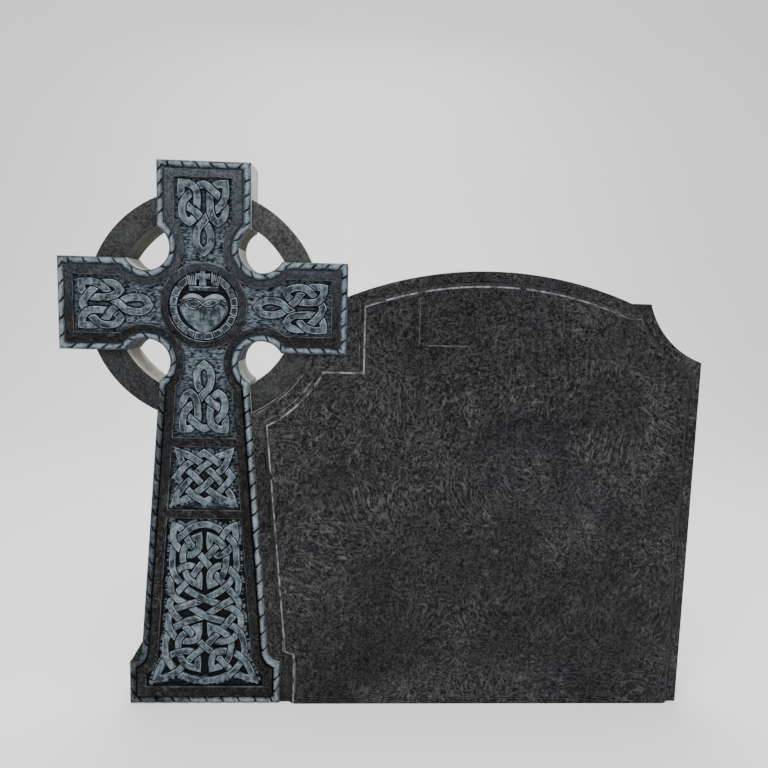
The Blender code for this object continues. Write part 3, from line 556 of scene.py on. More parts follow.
def grounds():
    """The outlines of all the sunken grounds of the cross."""
    side = arm_ground(ARM_REACH - GROUND_END_INSET, GROUND_INSET)
    drawn = [arm_ground(HEAD_TOP - GROUND_END_INSET, GROUND_INSET), turned(side, 90), turned(side, -90),
             neck_ground(), shaft_ground(PLAIT_TOP, PLAIT_FOOT), long_ground()]
    return [blunted(outline) for outline in drawn]


def place(knot, name):
    """The point of a knot that a name stands for, mirrored where the name is small."""
    x, z = knot["points"][name.upper()]
    return (x * MM, z * MM) if name[0].isupper() else (-x * MM, z * MM)


def smooth_line(points, corners=(), closed=True):
    """A smooth line through the points, broken at the corners."""
    count = len(points)
    tangents = []
    for i in range(count):
        before = points[i - 1] if closed or i else points[0]
        here = points[i]
        after = points[(i + 1) % count] if closed or i < count - 1 else points[-1]
        a = math.dist(before, here) or 1.0
        b = math.dist(here, after) or 1.0
        tangents.append([((here[k] - before[k]) * b / a + (after[k] - here[k]) * a / b) / (a + b)
                         for k in range(2)])
    line = []
    for i in range(count if closed else count - 1):
        j = (i + 1) % count
        p = points[i]
        q = points[j]
        span = math.dist(p, q)
        start = [t * span for t in tangents[i]]
        end = [t * span for t in tangents[j]]
        if i in corners:
            start = [1.5 * (q[k] - p[k]) - 0.5 * end[k] for k in range(2)]
        if j in corners:
            end = [1.5 * (q[k] - p[k]) - 0.5 * start[k] for k in range(2)]
        for n in range(SAMPLES):
            t = n / SAMPLES
            a = 2 * t ** 3 - 3 * t ** 2 + 1
            b = t ** 3 - 2 * t ** 2 + t
            c = 3 * t ** 2 - 2 * t ** 3
            d = t ** 3 - t ** 2
            line.append(tuple(a * p[k] + b * start[k] + c * q[k] + d * end[k] for k in range(2)))
    return line if closed else line + [points[-1]]


def unit(p, q):
    """Direction from p to q."""
    span = math.dist(p, q)
    return (q[0] - p[0]) / span, (q[1] - p[1]) / span


def to_line(points, line):
    """Distances from points to an open line."""
    p = np.asarray(points, float)[:, None, :]
    a = np.asarray(line[:-1], float)[None, :, :]
    d = np.asarray(line[1:], float)[None, :, :] - a
    t = ((p - a) * d).sum(2) / (d * d).sum(2)
    near = a + np.clip(t, 0.0, 1.0)[..., None] * d
    return np.hypot(*(p - near).transpose(2, 0, 1)).min(1)


def offset_line(line, distance):
    """An open line moved to its left by distance, mitred at its bends and cleaned of loops."""
    moved = []
    for i, point in enumerate(line):
        d0 = unit(line[max(i - 1, 0)], line[max(i, 1)])
        d1 = unit(line[min(i, len(line) - 2)], line[min(i + 1, len(line) - 1)])
        scale = distance / (1 + d0[0] * d1[0] + d0[1] * d1[1])
        moved.append((point[0] - (d0[1] + d1[1]) * scale, point[1] + (d0[0] + d1[0]) * scale))
    near = 3 * SAMPLES
    kept = moved[:1]
    for i, point in enumerate(moved):
        clear = to_line([point], line[max(i - near, 0):i + near])[0] > CLEAR_SHARE * abs(distance)
        if clear and math.dist(point, kept[-1]) > POINT_GAP:
            kept.append(point)
    return kept


def trim(line, over, distance):
    """The part of a line that has left the over strand behind by the given distance."""
    away = to_line(line, over)
    for i in range(1, len(line)):
        if away[i - 1] <= distance < away[i]:
            low = 0.0
            high = 1.0
            for halving in range(HALVINGS):
                t = (low + high) / 2
                first = tuple(line[i - 1][k] + t * (line[i][k] - line[i - 1][k]) for k in range(2))
                if to_line([first], over)[0] > distance:
                    high = t
                else:
                    low = t
            return [first] + line[i + 1:]
    return line


def ribbon_pieces(knot, size):
    """The visible lengths of ribbon of a knot, as closed outlines."""
    half = knot["width"] * MM / 2 - size.ribbon_trim
    gap = size.ribbon_gap
    corner_names = set(knot["corners"].split())
    runs = [(over, names.split()) for over, names in knot["strands"]]
    every = [name for over, names in runs for name in names]
    lines = []
    overs = {}
    unders = []
    for over, names in runs:
        points = [place(knot, name) for name in names]
        line = smooth_line(points, {i for i, name in enumerate(names) if name.upper() in corner_names})
        lines.append(line)
        found = []
        for i, name in enumerate(names):
            if every.count(name) < 2:
                continue
            k = i * SAMPLES
            if over:
                near = range(k - SAMPLES - 2, k + SAMPLES + 3)
                overs[name] = [line[n % len(line)] for n in near]
            else:
                found.append((k, name))
            over = not over
        unders.append(found)
    pieces = []
    for line, found in zip(lines, unders):
        for n, (start, first) in enumerate(found):
            end, last = found[(n + 1) % len(found)]
            if end <= start:
                end += len(line)
            part = [line[k % len(line)] for k in range(start, end + 1)]
            sides = []
            for way in (half, 0.0, -half):
                side = offset_line(part, way) if way else part
                for name in (first, last):
                    side = list(reversed(trim(side, overs[name], half + gap)))
                sides.append(side)
            pieces.append(sides[0] + [sides[1][-1]] + list(reversed(sides[2])) + [sides[1][0]])
    return pieces


def all_ribbons(size):
    """The ribbons of every knot on the cross, in their places."""
    arm = ribbon_pieces(ARM_KNOT, size)
    found = [list(p) for p in arm]
    found += [turned(p, 90) for p in arm] + [turned(p, -90) for p in arm]
    found += [turned(p, 180, NECK_SHIFT) for p in arm]
    return found + ribbon_pieces(PLAIT, size) + ribbon_pieces(LONG_KNOT, size)


def select_only(*pieces):
    """Leave only these objects selected, the first of them active."""
    bpy.ops.object.select_all(action="DESELECT")
    for piece in pieces:
        piece.select_set(True)
    bpy.context.view_layer.objects.active = pieces[0]


def linked(name, data):
    """A new object of the scene."""
    piece = bpy.data.objects.new(name, data)
    bpy.context.scene.collection.objects.link(piece)
    return piece


def open_mesh(piece):
    """Enter edit mode on a piece with all of it selected."""
    select_only(piece)
    bpy.ops.object.mode_set(mode="EDIT")
    bpy.ops.mesh.select_all(action="SELECT")


def close_mesh():
    """Turn every face outwards and leave edit mode."""
    bpy.ops.mesh.select_all(action="SELECT")
    bpy.ops.mesh.normals_make_consistent(inside=False)
    bpy.ops.object.mode_set(mode="OBJECT")


def pick(piece, kind, test):
    """Select only the edges or faces that pass a test, in edit mode."""
    bpy.ops.mesh.select_mode(type=kind)
    bpy.ops.mesh.select_all(action="DESELECT")
    work = bmesh.from_edit_mesh(piece.data)
    for item in work.edges if kind == "EDGE" else work.faces:
        if test(item):
            item.select_set(True)
    bmesh.update_edit_mesh(piece.data)


def at_depth(item, depth):
    """Whether an edge or face lies flat at a depth."""
    return all(abs(v.co.y - FRONT - depth) < SAME_LEVEL for v in item.verts)


def world_point(x, depth, z):
    """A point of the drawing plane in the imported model's frame."""
    return MIDDLE + x, FRONT + depth, CROSS_HEIGHT + z


def to_world(depth):
    """The matrix that stands a flat drawing upright at a depth."""
    return Matrix.Translation(world_point(0.0, depth, 0.0)) @ Matrix.Rotation(math.pi / 2, 4, "X")


def plate(name, outlines, front, back, materials):
    """A flat plate between two depths, filled between its outlines and given its materials.

    The outlines are filled while turned by an odd angle, because the fill fails where many of
    their points lie level with one another.
    """
    curve = bpy.data.curves.new(name, "CURVE")
    curve.dimensions = "2D"
    curve.fill_mode = "BOTH"
    curve.extrude = (back - front) / 2
    for outline in outlines:
        spline = curve.splines.new("POLY")
        spline.points.add(len(outline) - 1)
        for point, (x, z) in zip(spline.points, turned(outline, FILL_TURN)):
            point.co = (x, z, 0.0, 1.0)
        spline.use_cyclic_u = True
    piece = linked(name, curve)
    select_only(piece)
    bpy.ops.object.convert(target="MESH")
    piece.data.transform(to_world((front + back) / 2) @ Matrix.Rotation(-math.radians(FILL_TURN), 4, "Z"))
    for material in materials:
        piece.data.materials.append(material)
    open_mesh(piece)
    bpy.ops.mesh.remove_doubles(threshold=WELD)
    bpy.ops.mesh.dissolve_limited(angle_limit=math.radians(FLAT_TURN))
    close_mesh()
    return piece


def soften_rim(piece, depth, width, segments=1, slot=0, profile=0.5, steep=RIM_ANGLE):
    """Bevel the rim of the face that lies at a depth, its new faces in a material slot."""
    open_mesh(piece)
    pick(piece, "EDGE", lambda edge: at_depth(edge, depth) and len(edge.link_faces) == 2
         and edge.calc_face_angle() > steep)
    bpy.ops.mesh.bevel(offset_type="OFFSET", offset=width, segments=segments, profile=profile,
                       affect="EDGES", clamp_overlap=False, material=slot)
    bpy.ops.mesh.select_all(action="SELECT")
    bpy.ops.mesh.remove_doubles(threshold=WELD)
    bpy.ops.object.mode_set(mode="OBJECT")


def refill(piece, depth):
    """Fill the flat face at a depth afresh, between its outer rim and the rims of its holes."""
    turn = Matrix.Rotation(math.radians(FILL_TURN), 4, "Y")
    piece.data.transform(turn)
    open_mesh(piece)
    pick(piece, "FACE", lambda face: at_depth(face, depth))
    bpy.ops.mesh.delete(type="ONLY_FACE")
    pick(piece, "EDGE", lambda edge: not edge.link_faces)
    bpy.ops.mesh.delete(type="EDGE")
    pick(piece, "EDGE", lambda edge: len(edge.link_faces) == 1)
    bpy.ops.mesh.fill(use_beauty=True)
    close_mesh()
    piece.data.transform(turn.inverted())


def join_solid(body, tool):
    """Join one closed mesh to another and remove the first."""
    step = body.modifiers.new("join", "BOOLEAN")
    step.operation = "UNION"
    step.object = tool
    step.solver = "EXACT"
    select_only(body)
    bpy.ops.object.modifier_apply(modifier=step.name)
    bpy.data.objects.remove(tool)


def cut_flat(piece, point, normal, away=True):
    """Cut away what lies on the normal's side of a plane, or only run an edge where they meet."""
    open_mesh(piece)
    bpy.ops.mesh.bisect(plane_co=point, plane_no=normal, use_fill=away, clear_outer=away)
    bpy.ops.object.mode_set(mode="OBJECT")


def level_foot(piece):
    """Cut a piece off at the underside of the stone."""
    cut_flat(piece, world_point(0.0, 0.0, -CROSS_HEIGHT), (0.0, 0.0, -1.0))


def check_closed(piece):
    """Stop the build if a piece came out empty or with an open seam."""
    shape = bmesh.new()
    shape.from_mesh(piece.data)
    loose = sum(not edge.is_manifold for edge in shape.edges)
    count = len(shape.faces)
    shape.free()
    if not count or loose:
        raise RuntimeError(f"{piece.name} has {count} faces and {loose} open edges")


def finish(piece, smooth, materials=()):
    """Give a piece its shading and its place on the stone, and materials if it has none yet."""
    for material in materials:
        piece.data.materials.append(material)
    check_closed(piece)
    select_only(piece)
    bpy.ops.object.shade_smooth_by_angle(angle=math.radians(smooth))
    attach(piece, "root")
    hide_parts(NODE)
    return piece


class Wire:
    """A shader socket that adds Math nodes when it is used in an expression."""

    def __init__(self, graph, socket):
        self.graph = graph
        self.socket = socket

    def maths(self, operation, first, second=0.0):
        """One Math node on two values or sockets."""
        return self.graph.node("ShaderNodeMath", {"operation": operation}, {0: first, 1: second})

    def __add__(self, other):
        return self.maths("ADD", self, other)

    def __radd__(self, other):
        return self.maths("ADD", other, self)

    def __sub__(self, other):
        return self.maths("SUBTRACT", self, other)

    def __rsub__(self, other):
        return self.maths("SUBTRACT", other, self)

    def __mul__(self, other):
        return self.maths("MULTIPLY", self, other)

    def __rmul__(self, other):
        return self.maths("MULTIPLY", other, self)

    def __pow__(self, other):
        return self.maths("POWER", self, other)

    def sine(self):
        """The sine of a value."""
        return self.maths("SINE", self)

    def absolute(self):
        """The value without its sign."""
        return self.maths("ABSOLUTE", self)

    def between(self, low, high):
        """A value stretched so that low becomes 0 and high becomes 1, and held there."""
        return self.graph.node("ShaderNodeMapRange", {"clamp": True}, {0: self, 1: low, 2: high})


class Graph:
    """The node tree of one procedural material."""

    def __init__(self, name):
        self.material = bpy.data.materials.new(name)
        self.material.use_nodes = True
        self.tree = self.material.node_tree
        self.shader = self.tree.nodes["Principled BSDF"]
        self.place = Wire(self, self.tree.nodes.new("ShaderNodeTexCoord").outputs["Object"])

    def node(self, kind, settings=None, sockets=None, output=0):
        """A node with its settings and the values or links of its sockets."""
        made = self.tree.nodes.new(kind)
        for key, value in (settings or {}).items():
            setattr(made, key, value)
        for key, value in (sockets or {}).items():
            if isinstance(value, Wire):
                self.tree.links.new(value.socket, made.inputs[key])
            else:
                made.inputs[key].default_value = value
        return Wire(self, made.outputs[output])

    def moved(self, scale=(1.0, 1.0, 1.0), rotation=(0.0, 0.0, 0.0), start=None):
        """Object coordinates turned and stretched."""
        return self.node("ShaderNodeMapping", {}, {"Vector": start or self.place, "Rotation": rotation,
                                                   "Scale": scale})

    def noise(self, scale, detail=2.0, rough=0.5, warp=0.0, vector=None, output=0):
        """A noise value from 0 to 1, or as a colour from output 1."""
        return self.node("ShaderNodeTexNoise", {}, {"Vector": vector or self.place, "Scale": scale,
                                                    "Detail": detail, "Roughness": rough,
                                                    "Distortion": warp}, output)

    def shift(self, vector, noise, amount):
        """Coordinates pushed about by a noise colour."""
        centred = self.node("ShaderNodeVectorMath", {"operation": "SUBTRACT"}, {0: noise, 1: (0.5, 0.5, 0.5)})
        return self.node("ShaderNodeVectorMath", {"operation": "MULTIPLY_ADD"},
                         {0: centred, 1: (amount, amount, amount), 2: vector})

    def ridge(self, value, sharp):
        """A thin bright line where a noise passes its middle value."""
        return (1.0 - (value - 0.5).absolute() * sharp).between(0.0, 1.0)

    def axis(self, name):
        """One object coordinate."""
        return self.node("ShaderNodeSeparateXYZ", {}, {0: self.place}, name)

    def rise(self, low, high):
        """0 to 1 between two heights, measured from the centre of the medallion."""
        return self.axis("Z").between(CROSS_HEIGHT + low, CROSS_HEIGHT + high)

    def attribute(self, name):
        """A value stored on the mesh."""
        return self.node("ShaderNodeAttribute", {"attribute_name": name}, {}, "Fac")

    def mark(self, x, z, half_x, half_z):
        """A small upright patch round a point of the front, with soft ends."""
        across = (self.axis("X") - x).absolute().between(half_x * 1.4 + MARK_EDGE, half_x * 0.6)
        up = (self.axis("Z") - z).absolute().between(half_z * 1.1 + MARK_EDGE, half_z * 0.9)
        return across * up

    def mix(self, factor, first, second):
        """A colour between two colours."""
        first = first if isinstance(first, Wire) else (*first, 1.0)
        second = second if isinstance(second, Wire) else (*second, 1.0)
        return self.node("ShaderNodeMix", {"data_type": "RGBA"}, {0: factor, 6: first, 7: second}, 2)

    def done(self, base, rough, height=None, strength=0.3, distance=0.001):
        """Link the finish to the shader and return the material."""
        for key, value in (("Base Color", base), ("Roughness", rough)):
            if isinstance(value, Wire):
                self.tree.links.new(value.socket, self.shader.inputs[key])
            else:
                self.shader.inputs[key].default_value = value
        self.shader.inputs["Specular IOR Level"].default_value = SHEEN
        if height:
            bump = self.node("ShaderNodeBump", {}, {"Strength": strength, "Distance": distance,
                                                    "Height": height})
            self.tree.links.new(bump.socket, self.shader.inputs["Normal"])
        return self.material


def blank(name):
    """The graph of a new material, and the colours that it may use."""
    return Graph(name), bpy.context.scene.headstone_colours


def polished(name, middle, lines=1.0, marked=True):
    """Dark polished granite: fine mottling crossed by broken hairlines that flow and swirl.

    A marked face carries the scratches and specks, any other one a bloom of dust towards the
    head of the cross.
    """
    g, tint = blank(name)
    flow = g.shift(g.place, g.noise(4.6, 1.6, 0.45, output=1), 0.20)
    flow = g.shift(flow, g.noise(34.0, 1.5, 0.5, output=1), 0.006)
    streak = g.noise(88.0, 2.0, 0.55, 0.2, g.moved((1.0, 1.0, 0.24), start=flow))
    second = g.noise(70.0, 2.0, 0.55, 0.2, g.moved((0.3, 1.0, 1.0), (0.0, 0.6, 0.0), flow))
    breaks = g.noise(80.0, 3.0, 0.6)
    hair = g.ridge(streak, 22.0) * breaks.between(0.44, 0.60) * g.noise(11.0, 3.0).between(0.42, 0.60)
    stray = g.ridge(second, 24.0) * breaks.between(0.56, 0.42) * g.noise(9.0, 3.0).between(0.48, 0.62)
    rings = (g.noise(6.5, 3.0, 0.55, 0.5, flow) * 230.0).sine().between(0.35, 0.95)
    rings = rings * g.noise(5.5, 2.0).between(0.45, 0.60) * breaks.between(0.36, 0.56)
    mass = g.noise(150.0, 4.0, 0.8, 0.5, flow).between(0.41, 0.59)
    fine = g.noise(260.0, 3.0, 0.75).between(0.43, 0.57)
    clouds = g.noise(14.0, 4.0, 0.65).between(0.32, 0.68)
    base = g.mix((mass * 0.46 + fine * 0.40 + clouds * 0.14) ** 1.5, tint.dark, middle)
    base = g.mix(g.noise(2.3).between(0.46, 0.64) * 0.22, base, COLD_CAST)
    warm = g.noise(2.9, vector=g.moved(rotation=(0.7, 0.0, 0.4))).between(0.48, 0.66)
    base = g.mix(warm * 0.22, base, WARM_CAST)
    base = g.mix(rings * (0.36 * lines), base, tint.vein)
    base = g.mix(hair * (0.55 * lines), base, tint.vein)
    base = g.mix(stray * (0.45 * lines), base, tint.vein)
    pits = g.noise(150.0, 4.0, 0.7).between(0.55, 0.61)
    base = g.mix(pits * 0.9, base, PITS)
    specks = g.noise(360.0, 2.0, 0.6).between(0.64, 0.74)
    base = g.mix(specks * 0.30, base, tint.vein)
    if not marked:
        dust = g.rise(-0.05, 0.22) * (g.noise(38.0, 4.0, 0.65).between(0.30, 0.62) * 0.5 + 0.5)
        base = g.mix(dust * (fine * 0.4 + 0.22), base, BAND_DUST)
    for x, z, half_x, half_z, strength in MARKS if marked else ():
        worn = (breaks.between(0.30, 0.50) * strength).between(0.0, 1.0)
        base = g.mix(g.mark(x, z, half_x, half_z) * worn, base, tint.arris)
    return g.done(base, 0.42 + mass * 0.12, mass + hair * 0.3, 0.08, 0.0004)


def arris_bruise_and_highlight(name, strength):
    """The lighter line along an arris, bruised stone with a painted highlight on it, which fades towards the
    lower right as the edges turn from the light.
    """
    g, tint = blank(name)
    # The painted highlight is weaker towards the right and the lower right
    right = g.axis("X").between(0.16, 0.42)
    lower_right = g.axis("X").between(0.30, 0.50) * g.axis("Z").between(0.86, 0.76)
    worn = g.noise(42.0, 4.0, 0.65).between(0.38, 0.60) * (1.0 - (right * 0.28 + lower_right * 0.64))
    grain = g.noise(300.0, 3.0, 0.6).between(0.30, 0.62)
    base = g.mix(grain * 0.5, tint.dark, tint.mid)
    base = g.mix(worn * (grain * 0.4 + 0.6) * strength, base, tint.arris)
    return g.done(base, 0.6, grain, 0.2, 0.0005)


def foot_line():
    """The foot of the panel's bevel, lighter only where it follows the ring."""
    g, tint = blank("bevel foot")
    near = g.axis("X").between(-0.02, -0.08) * g.axis("Z").between(0.52, 0.60)
    worn = g.noise(40.0, 4.0, 0.6).between(0.36, 0.60)
    base = g.mix(worn * 0.5, tint.dark, tint.mid)
    return g.done(g.mix(near * worn * 0.45, base, tint.arris), 0.6, worn, 0.2, 0.0005)


def honed():
    """The plain honed face of the ring."""
    g, tint = blank("honed granite")
    cloud = g.noise(26.0, 4.0, 0.65).between(0.30, 0.70)
    grain = g.noise(260.0, 4.0, 0.7).between(0.35, 0.68)
    pits = g.noise(190.0, 3.0, 0.7).between(0.42, 0.60)
    upper = (g.axis("X") + g.axis("Z")).between(0.25, 0.75)
    tone = g.mix(upper * 0.45, tint.honed, tint.vein)
    base = g.mix(cloud * 0.42 + grain * 0.32 + pits * 0.42, tint.dark, tone)
    specks = g.noise(420.0, 1.0, 0.5).between(0.64, 0.74)
    base = g.mix(specks * 0.5, base, tint.vein)
    return g.done(base, 0.55 + cloud * 0.15, grain, 0.25, 0.0006)


def dressed(name, level=0.0, tone=None, painted_top_light=0.0):
    """Light brushed carving, lighter or darker throughout by a level.

    A tone names the mesh's own painted highlight, and the mesh's painted shade darkens it then.
    With painted top light the stone is painted lighter above the centre of the medallion, as light from above
    falls on it.
    """
    g, tint = blank(name)
    across = g.noise(150.0, 4.0, 0.65, 0.4, g.moved((1.0, 1.0, 0.28), (0.0, 0.55, 0.0))).between(0.32, 0.68)
    along = g.noise(190.0, 4.0, 0.65, 0.3, g.moved((0.30, 1.0, 1.0), (0.0, 0.9, 0.0))).between(0.35, 0.70)
    blot = g.noise(34.0, 4.0, 0.6).between(0.28, 0.70)
    pits = g.noise(420.0, 2.0, 0.6).between(0.56, 0.68)
    face = across * 0.60 + along * 0.48 + blot * 0.64 - 0.36 + level
    # Painted light from above: lighter towards the top
    if painted_top_light:
        face = face + g.rise(0.006, 0.018) * painted_top_light
    base = g.mix(face.between(0.0, 1.0), tint.dressed_low, tint.dressed)
    base = g.mix(pits * 0.5, base, tint.dark)
    # The tone paints a highlight, and the second value paints shade in the cuts and hollows
    if tone:
        base = g.mix(g.attribute(tone), base, tint.edge_highlight)
        base = g.mix(g.attribute("painted_shade"), base, tint.dark)
    return g.done(base, 0.62 + pits * 0.15, face + pits * -0.5, 0.35, 0.0006)


def edge_highlight(name, strength=1.0):
    """The brighter edges and beads of the carving, painted as a highlight."""
    g, tint = blank(name)
    wear = g.noise(60.0, 4.0, 0.65).between(0.38, 0.66)
    base = g.mix(wear * strength, tint.dressed_low, tint.edge_highlight)
    return g.done(base, 0.6, g.noise(300.0), 0.3, 0.0005)


def tooled():
    """The stippled ground: light tops and dark bottoms of the tool marks, and the painted shade along the
    ribbons that its tone carries.
    """
    g, tint = blank("tooled ground")
    base = g.mix(g.attribute("tone"), tint.ground_low, tint.ground_high)
    grain = g.noise(480.0, 3.0, 0.7).between(0.32, 0.70)
    base = g.mix(grain * 0.45, base, tint.ground_low)
    return g.done(base, 0.7, grain, 0.4, 0.0006)


def shade_finish(name, pale=1.0):
    """Painted shade: the flat of a narrow channel painted dark, paler from the arms of the cross upwards."""
    g, tint = blank(name)
    grain = g.noise(300.0, 3.0, 0.7).between(0.40, 0.75)
    base = g.mix(grain * 0.5, tint.ground_low, tint.dark)
    base = g.mix(g.rise(-0.16, -0.06) * (grain * 0.3 + 0.3) * pale, base, tint.ground_high)
    return g.done(base, 0.75, grain, 0.4, 0.0006)


def sawn(name, clean, stained):
    """The pale unpolished sides and openings, with saw lines and stains."""
    g, tint = blank(name)
    stain = g.noise(16.0, 4.0, 0.6).between(0.46, 0.72)
    lines = g.noise(60.0, 3.0, 0.6, 0.0, g.moved((1.0, 0.12, 1.0))).between(0.35, 0.68)
    grain = g.noise(300.0, 4.0, 0.7).between(0.36, 0.66)
    base = g.mix(stain * 0.7 + lines * 0.15, clean, stained)
    base = g.mix(grain * 0.22, base, tint.honed)
    return g.done(base, 0.85, grain + lines * 0.6, 0.5, 0.0008)


def backing():
    """The plain back of the slab: sawn flat, grey and dusty."""
    g = Graph("sawn back")
    cloud = g.noise(5.0, 4.0, 0.6).between(0.30, 0.70)
    leaning = g.node("ShaderNodeSeparateXYZ", {}, {0: g.moved(rotation=(0.0, 0.08, 0.0))}, "Z")
    kerf = (leaning * 900.0 + g.noise(3.0, 2.0) * 9.0).sine() * 0.5 + 0.5
    grain = g.noise(260.0, 4.0, 0.7).between(0.34, 0.68)
    grit = g.noise(190.0, 3.0, 0.75).between(0.40, 0.62)
    streaks = g.noise(22.0, 4.0, 0.65, 0.3, g.moved((1.0, 1.0, 0.10))).between(0.50, 0.68)
    base = g.mix(cloud * 0.30 + grain * 0.30 + grit * 0.35, BACK_LOW, BACK_HIGH)
    base = g.mix(kerf * 0.16, base, BACK_KERF)
    base = g.mix(streaks * 0.30, base, BACK_STREAK)
    return g.done(base, 0.8, grain * 0.5 + kerf * 0.5, 0.3, 0.0008)


def carving_root(size):
    """The depth inside the stone at which carved pieces end."""
    return size.ground + 2 * STAGGER


def fill_slot(piece, slot):
    """Put every face of a body in one material slot."""
    for face in piece.data.polygons:
        face.material_index = slot


def side_and_back(piece):
    """Put the walls and the back of the stone in their material slots, by the way they face, walls that face
    downwards in a darker copy of the sawn finish as painted shade.

    The small step at the left of the base is finished as the ring is, its edge included.
    """
    for face in piece.data.polygons:
        if face.normal.y > BACKWARD:
            face.material_index = BACK
        elif abs(face.normal.y) < SIDEWAYS:
            # Walls that face downwards take the darker copy of the sawn side, painted shade
            face.material_index = SHADED_UNDERSIDE if face.normal.z < DOWNWARD else SIDE
            height = face.center.z - CROSS_HEIGHT
            left = face.center.x < MIDDLE - shaft_half(height) and face.center.y < FRONT + SHOULDER_BACK
            if left and SHOULDER_FOOT - WELD < height < SHOULDER_TOP:
                face.material_index = HONED


class HEADSTONE_OT_stone(bpy.types.Operator):
    """Join the tablet, ring and cross bodies into one slab"""
    bl_idname = "headstone.stone"
    bl_label = "Stone"

    def execute(self, context):
        size = context.scene.headstone_sizes
        tint = context.scene.headstone_colours
        # The border arris takes a faint painted highlight
        finishes = [polished("polished border", tint.mid), arris_bruise_and_highlight("border arris", 0.30),
                    # the finish of the narrow channel beside the rope is painted shade
                    honed(), shade_finish("shade_finish"), sawn("sawn side", tint.sawn, tint.sawn_low), backing(),
                    # the stained underside is the sawn finish in darker colours, painted shade on walls that
                    # face downwards
                    sawn("stained underside", tint.shaded_side, tint.shaded_side_low)]
        foot = -CROSS_HEIGHT - OVERRUN
        back = THICKNESS + OVERRUN
        body = plate("stone", [tablet_outline(foot)], size.border_step, back, finishes)
        soften_rim(body, size.border_step, size.arris, 2, ARRIS)
        ring = plate("ring", [circle(RING_CENTRE, RING_OUTER), circle((0.0, 0.0), RING_INNER)],
                     size.ring_step, back + STAGGER, finishes)
        soften_rim(ring, size.ring_step, size.arris, 2, HONED)
        refill(ring, size.ring_step)
        cross = plate("cross", [cross_outline(0.0, foot - STAGGER)], size.ground, back + 2 * STAGGER,
                      finishes)
        outline = [(0.0, SHOULDER_TOP), (STAGGER - shaft_half(SHOULDER_TOP), SHOULDER_TOP),
                   (STAGGER - BASE_HALF, SHOULDER_FOOT - STAGGER), (0.0, SHOULDER_FOOT - STAGGER)]
        shoulder = plate("shoulder", [outline], size.ring_step, back + 3 * STAGGER, finishes)
        # The cross's front shows only in the narrow channel beside the rope, where it is painted with shade
        for part, slot in ((ring, HONED), (cross, CHANNEL_SHADE), (shoulder, HONED)):
            fill_slot(part, slot)
            join_solid(body, part)
        backwards = (0.0, 1.0, 0.0)
        cut_flat(body, world_point(0.0, THICKNESS, 0.0), backwards)
        level_foot(body)
        cut_flat(body, world_point(0.0, size.ring_step + STAGGER / 4, 0.0), backwards, away=False)
        side_and_back(body)
        finish(body, 30.0)
        return {"FINISHED"}


class HEADSTONE_OT_panel(bpy.types.Operator):
    """Raise the polished panel of the tablet with its bevelled edge"""
    bl_idname = "headstone.panel"
    bl_label = "Panel"

    def execute(self, context):
        size = context.scene.headstone_sizes
        slope = size.border_step
        foot = -CROSS_HEIGHT - OVERRUN
        # The panel's arris takes the strongest painted highlight
        finishes = [polished("polished panel", context.scene.headstone_colours.mid),
                    arris_bruise_and_highlight("panel arris", 0.90)]
        panel = plate("panel", [panel_outline(slope, foot)], 0.0, size.ring_step, finishes)
        soften_rim(panel, 0.0, slope, 1, 0)
        soften_rim(panel, 0.0, size.panel_arris, 2, 1, steep=0.3)
        level_foot(panel)
        finish(panel, 30.0)
        fillet = plate("panel_foot", [panel_outline(slope + size.arris, foot)], slope - STAGGER / 2,
                       size.ring_step - STAGGER, [foot_line()])
        level_foot(fillet)
        finish(fillet, 30.0)
        start, end = RING_LINE_TURNS
        line = arc(RING_CENTRE, RING_LINE, start, end)
        line += arc(RING_CENTRE, RING_LINE - RING_LINE_WIDTH, end, start)
        scribed = plate("ring_line", [line], slope - STAGGER / 4, size.ring_step, [foot_line()])
        finish(scribed, 30.0)
        return {"FINISHED"}


class HEADSTONE_OT_band(bpy.types.Operator):
    """Lay the polished band round the sunken grounds and the medallion"""
    bl_idname = "headstone.band"
    bl_label = "Band"

    # The recess's arris gets no painted highlight above a slope, where it faces away from the light, and the
    # medallion's outer one a brighter painted highlight above a height
    unlit_slope = 0.4
    highlight_height = 0.03

    def execute(self, context):
        size = context.scene.headstone_sizes
        outer = cross_outline(BAND_INSET, -CROSS_HEIGHT + BAND_INSET)
        recess = circle((0.0, 0.0), RECESS_RADIUS)
        # The band's and the medallion's arrises take a painted highlight
        finishes = [polished("polished band", context.scene.headstone_colours.band, 0.5, False),
                    arris_bruise_and_highlight("band arris", 0.36), arris_bruise_and_highlight("medallion arris", 0.70)]
        band = plate("band", [outer] + grounds() + [recess], 0.0, BAND_ROOT, finishes)
        soften_rim(band, 0.0, size.arris, 2, 1)
        refill(band, 0.0)
        self.sort_arrises(band, outer)
        finish(band, 30.0)
        return {"FINISHED"}

    def sort_arrises(self, band, outer):
        """Leave the outer rim and the recess's upper left without the painted highlight, and paint a brighter
        highlight round the medallion.
        """
        rim = tree_of([outer], BAND_LINE / 2)
        for face in band.data.polygons:
            x = face.center.x - MIDDLE
            z = face.center.z - CROSS_HEIGHT
            out = math.hypot(x, z)
            recess = out < RECESS_RADIUS + BAND_LINE
            upper_left = z > x * self.unlit_slope + BAND_LINE
            if rim.find((x, z, 0.0))[2] < BAND_LINE or (recess and upper_left):
                face.material_index = 0
            elif face.material_index and (recess or (out < MEDALLION_RADIUS and z > self.highlight_height)):
                face.material_index = 2


def rope_cuts():
    """The middle and direction of every cut across the roll."""
    places = []
    for first, step, count, slant in ROPE_RUNS:
        places += [((first[0] + step[0] * i) * MM, (first[1] + step[1] * i) * MM, slant)
                   for i in range(count)]
    for side, height, start, step, count in SCOOP_RUNS:
        radius = SCOOP_RADIUS + ROPE_CENTRE
        for i in range(count):
            a = math.radians(start + step * i)
            places.append((side * SCOOP_CENTRE + radius * math.cos(a),
                           height * SCOOP_CENTRE + radius * math.sin(a), math.degrees(a) + SCOOP_SLANT))
    return places


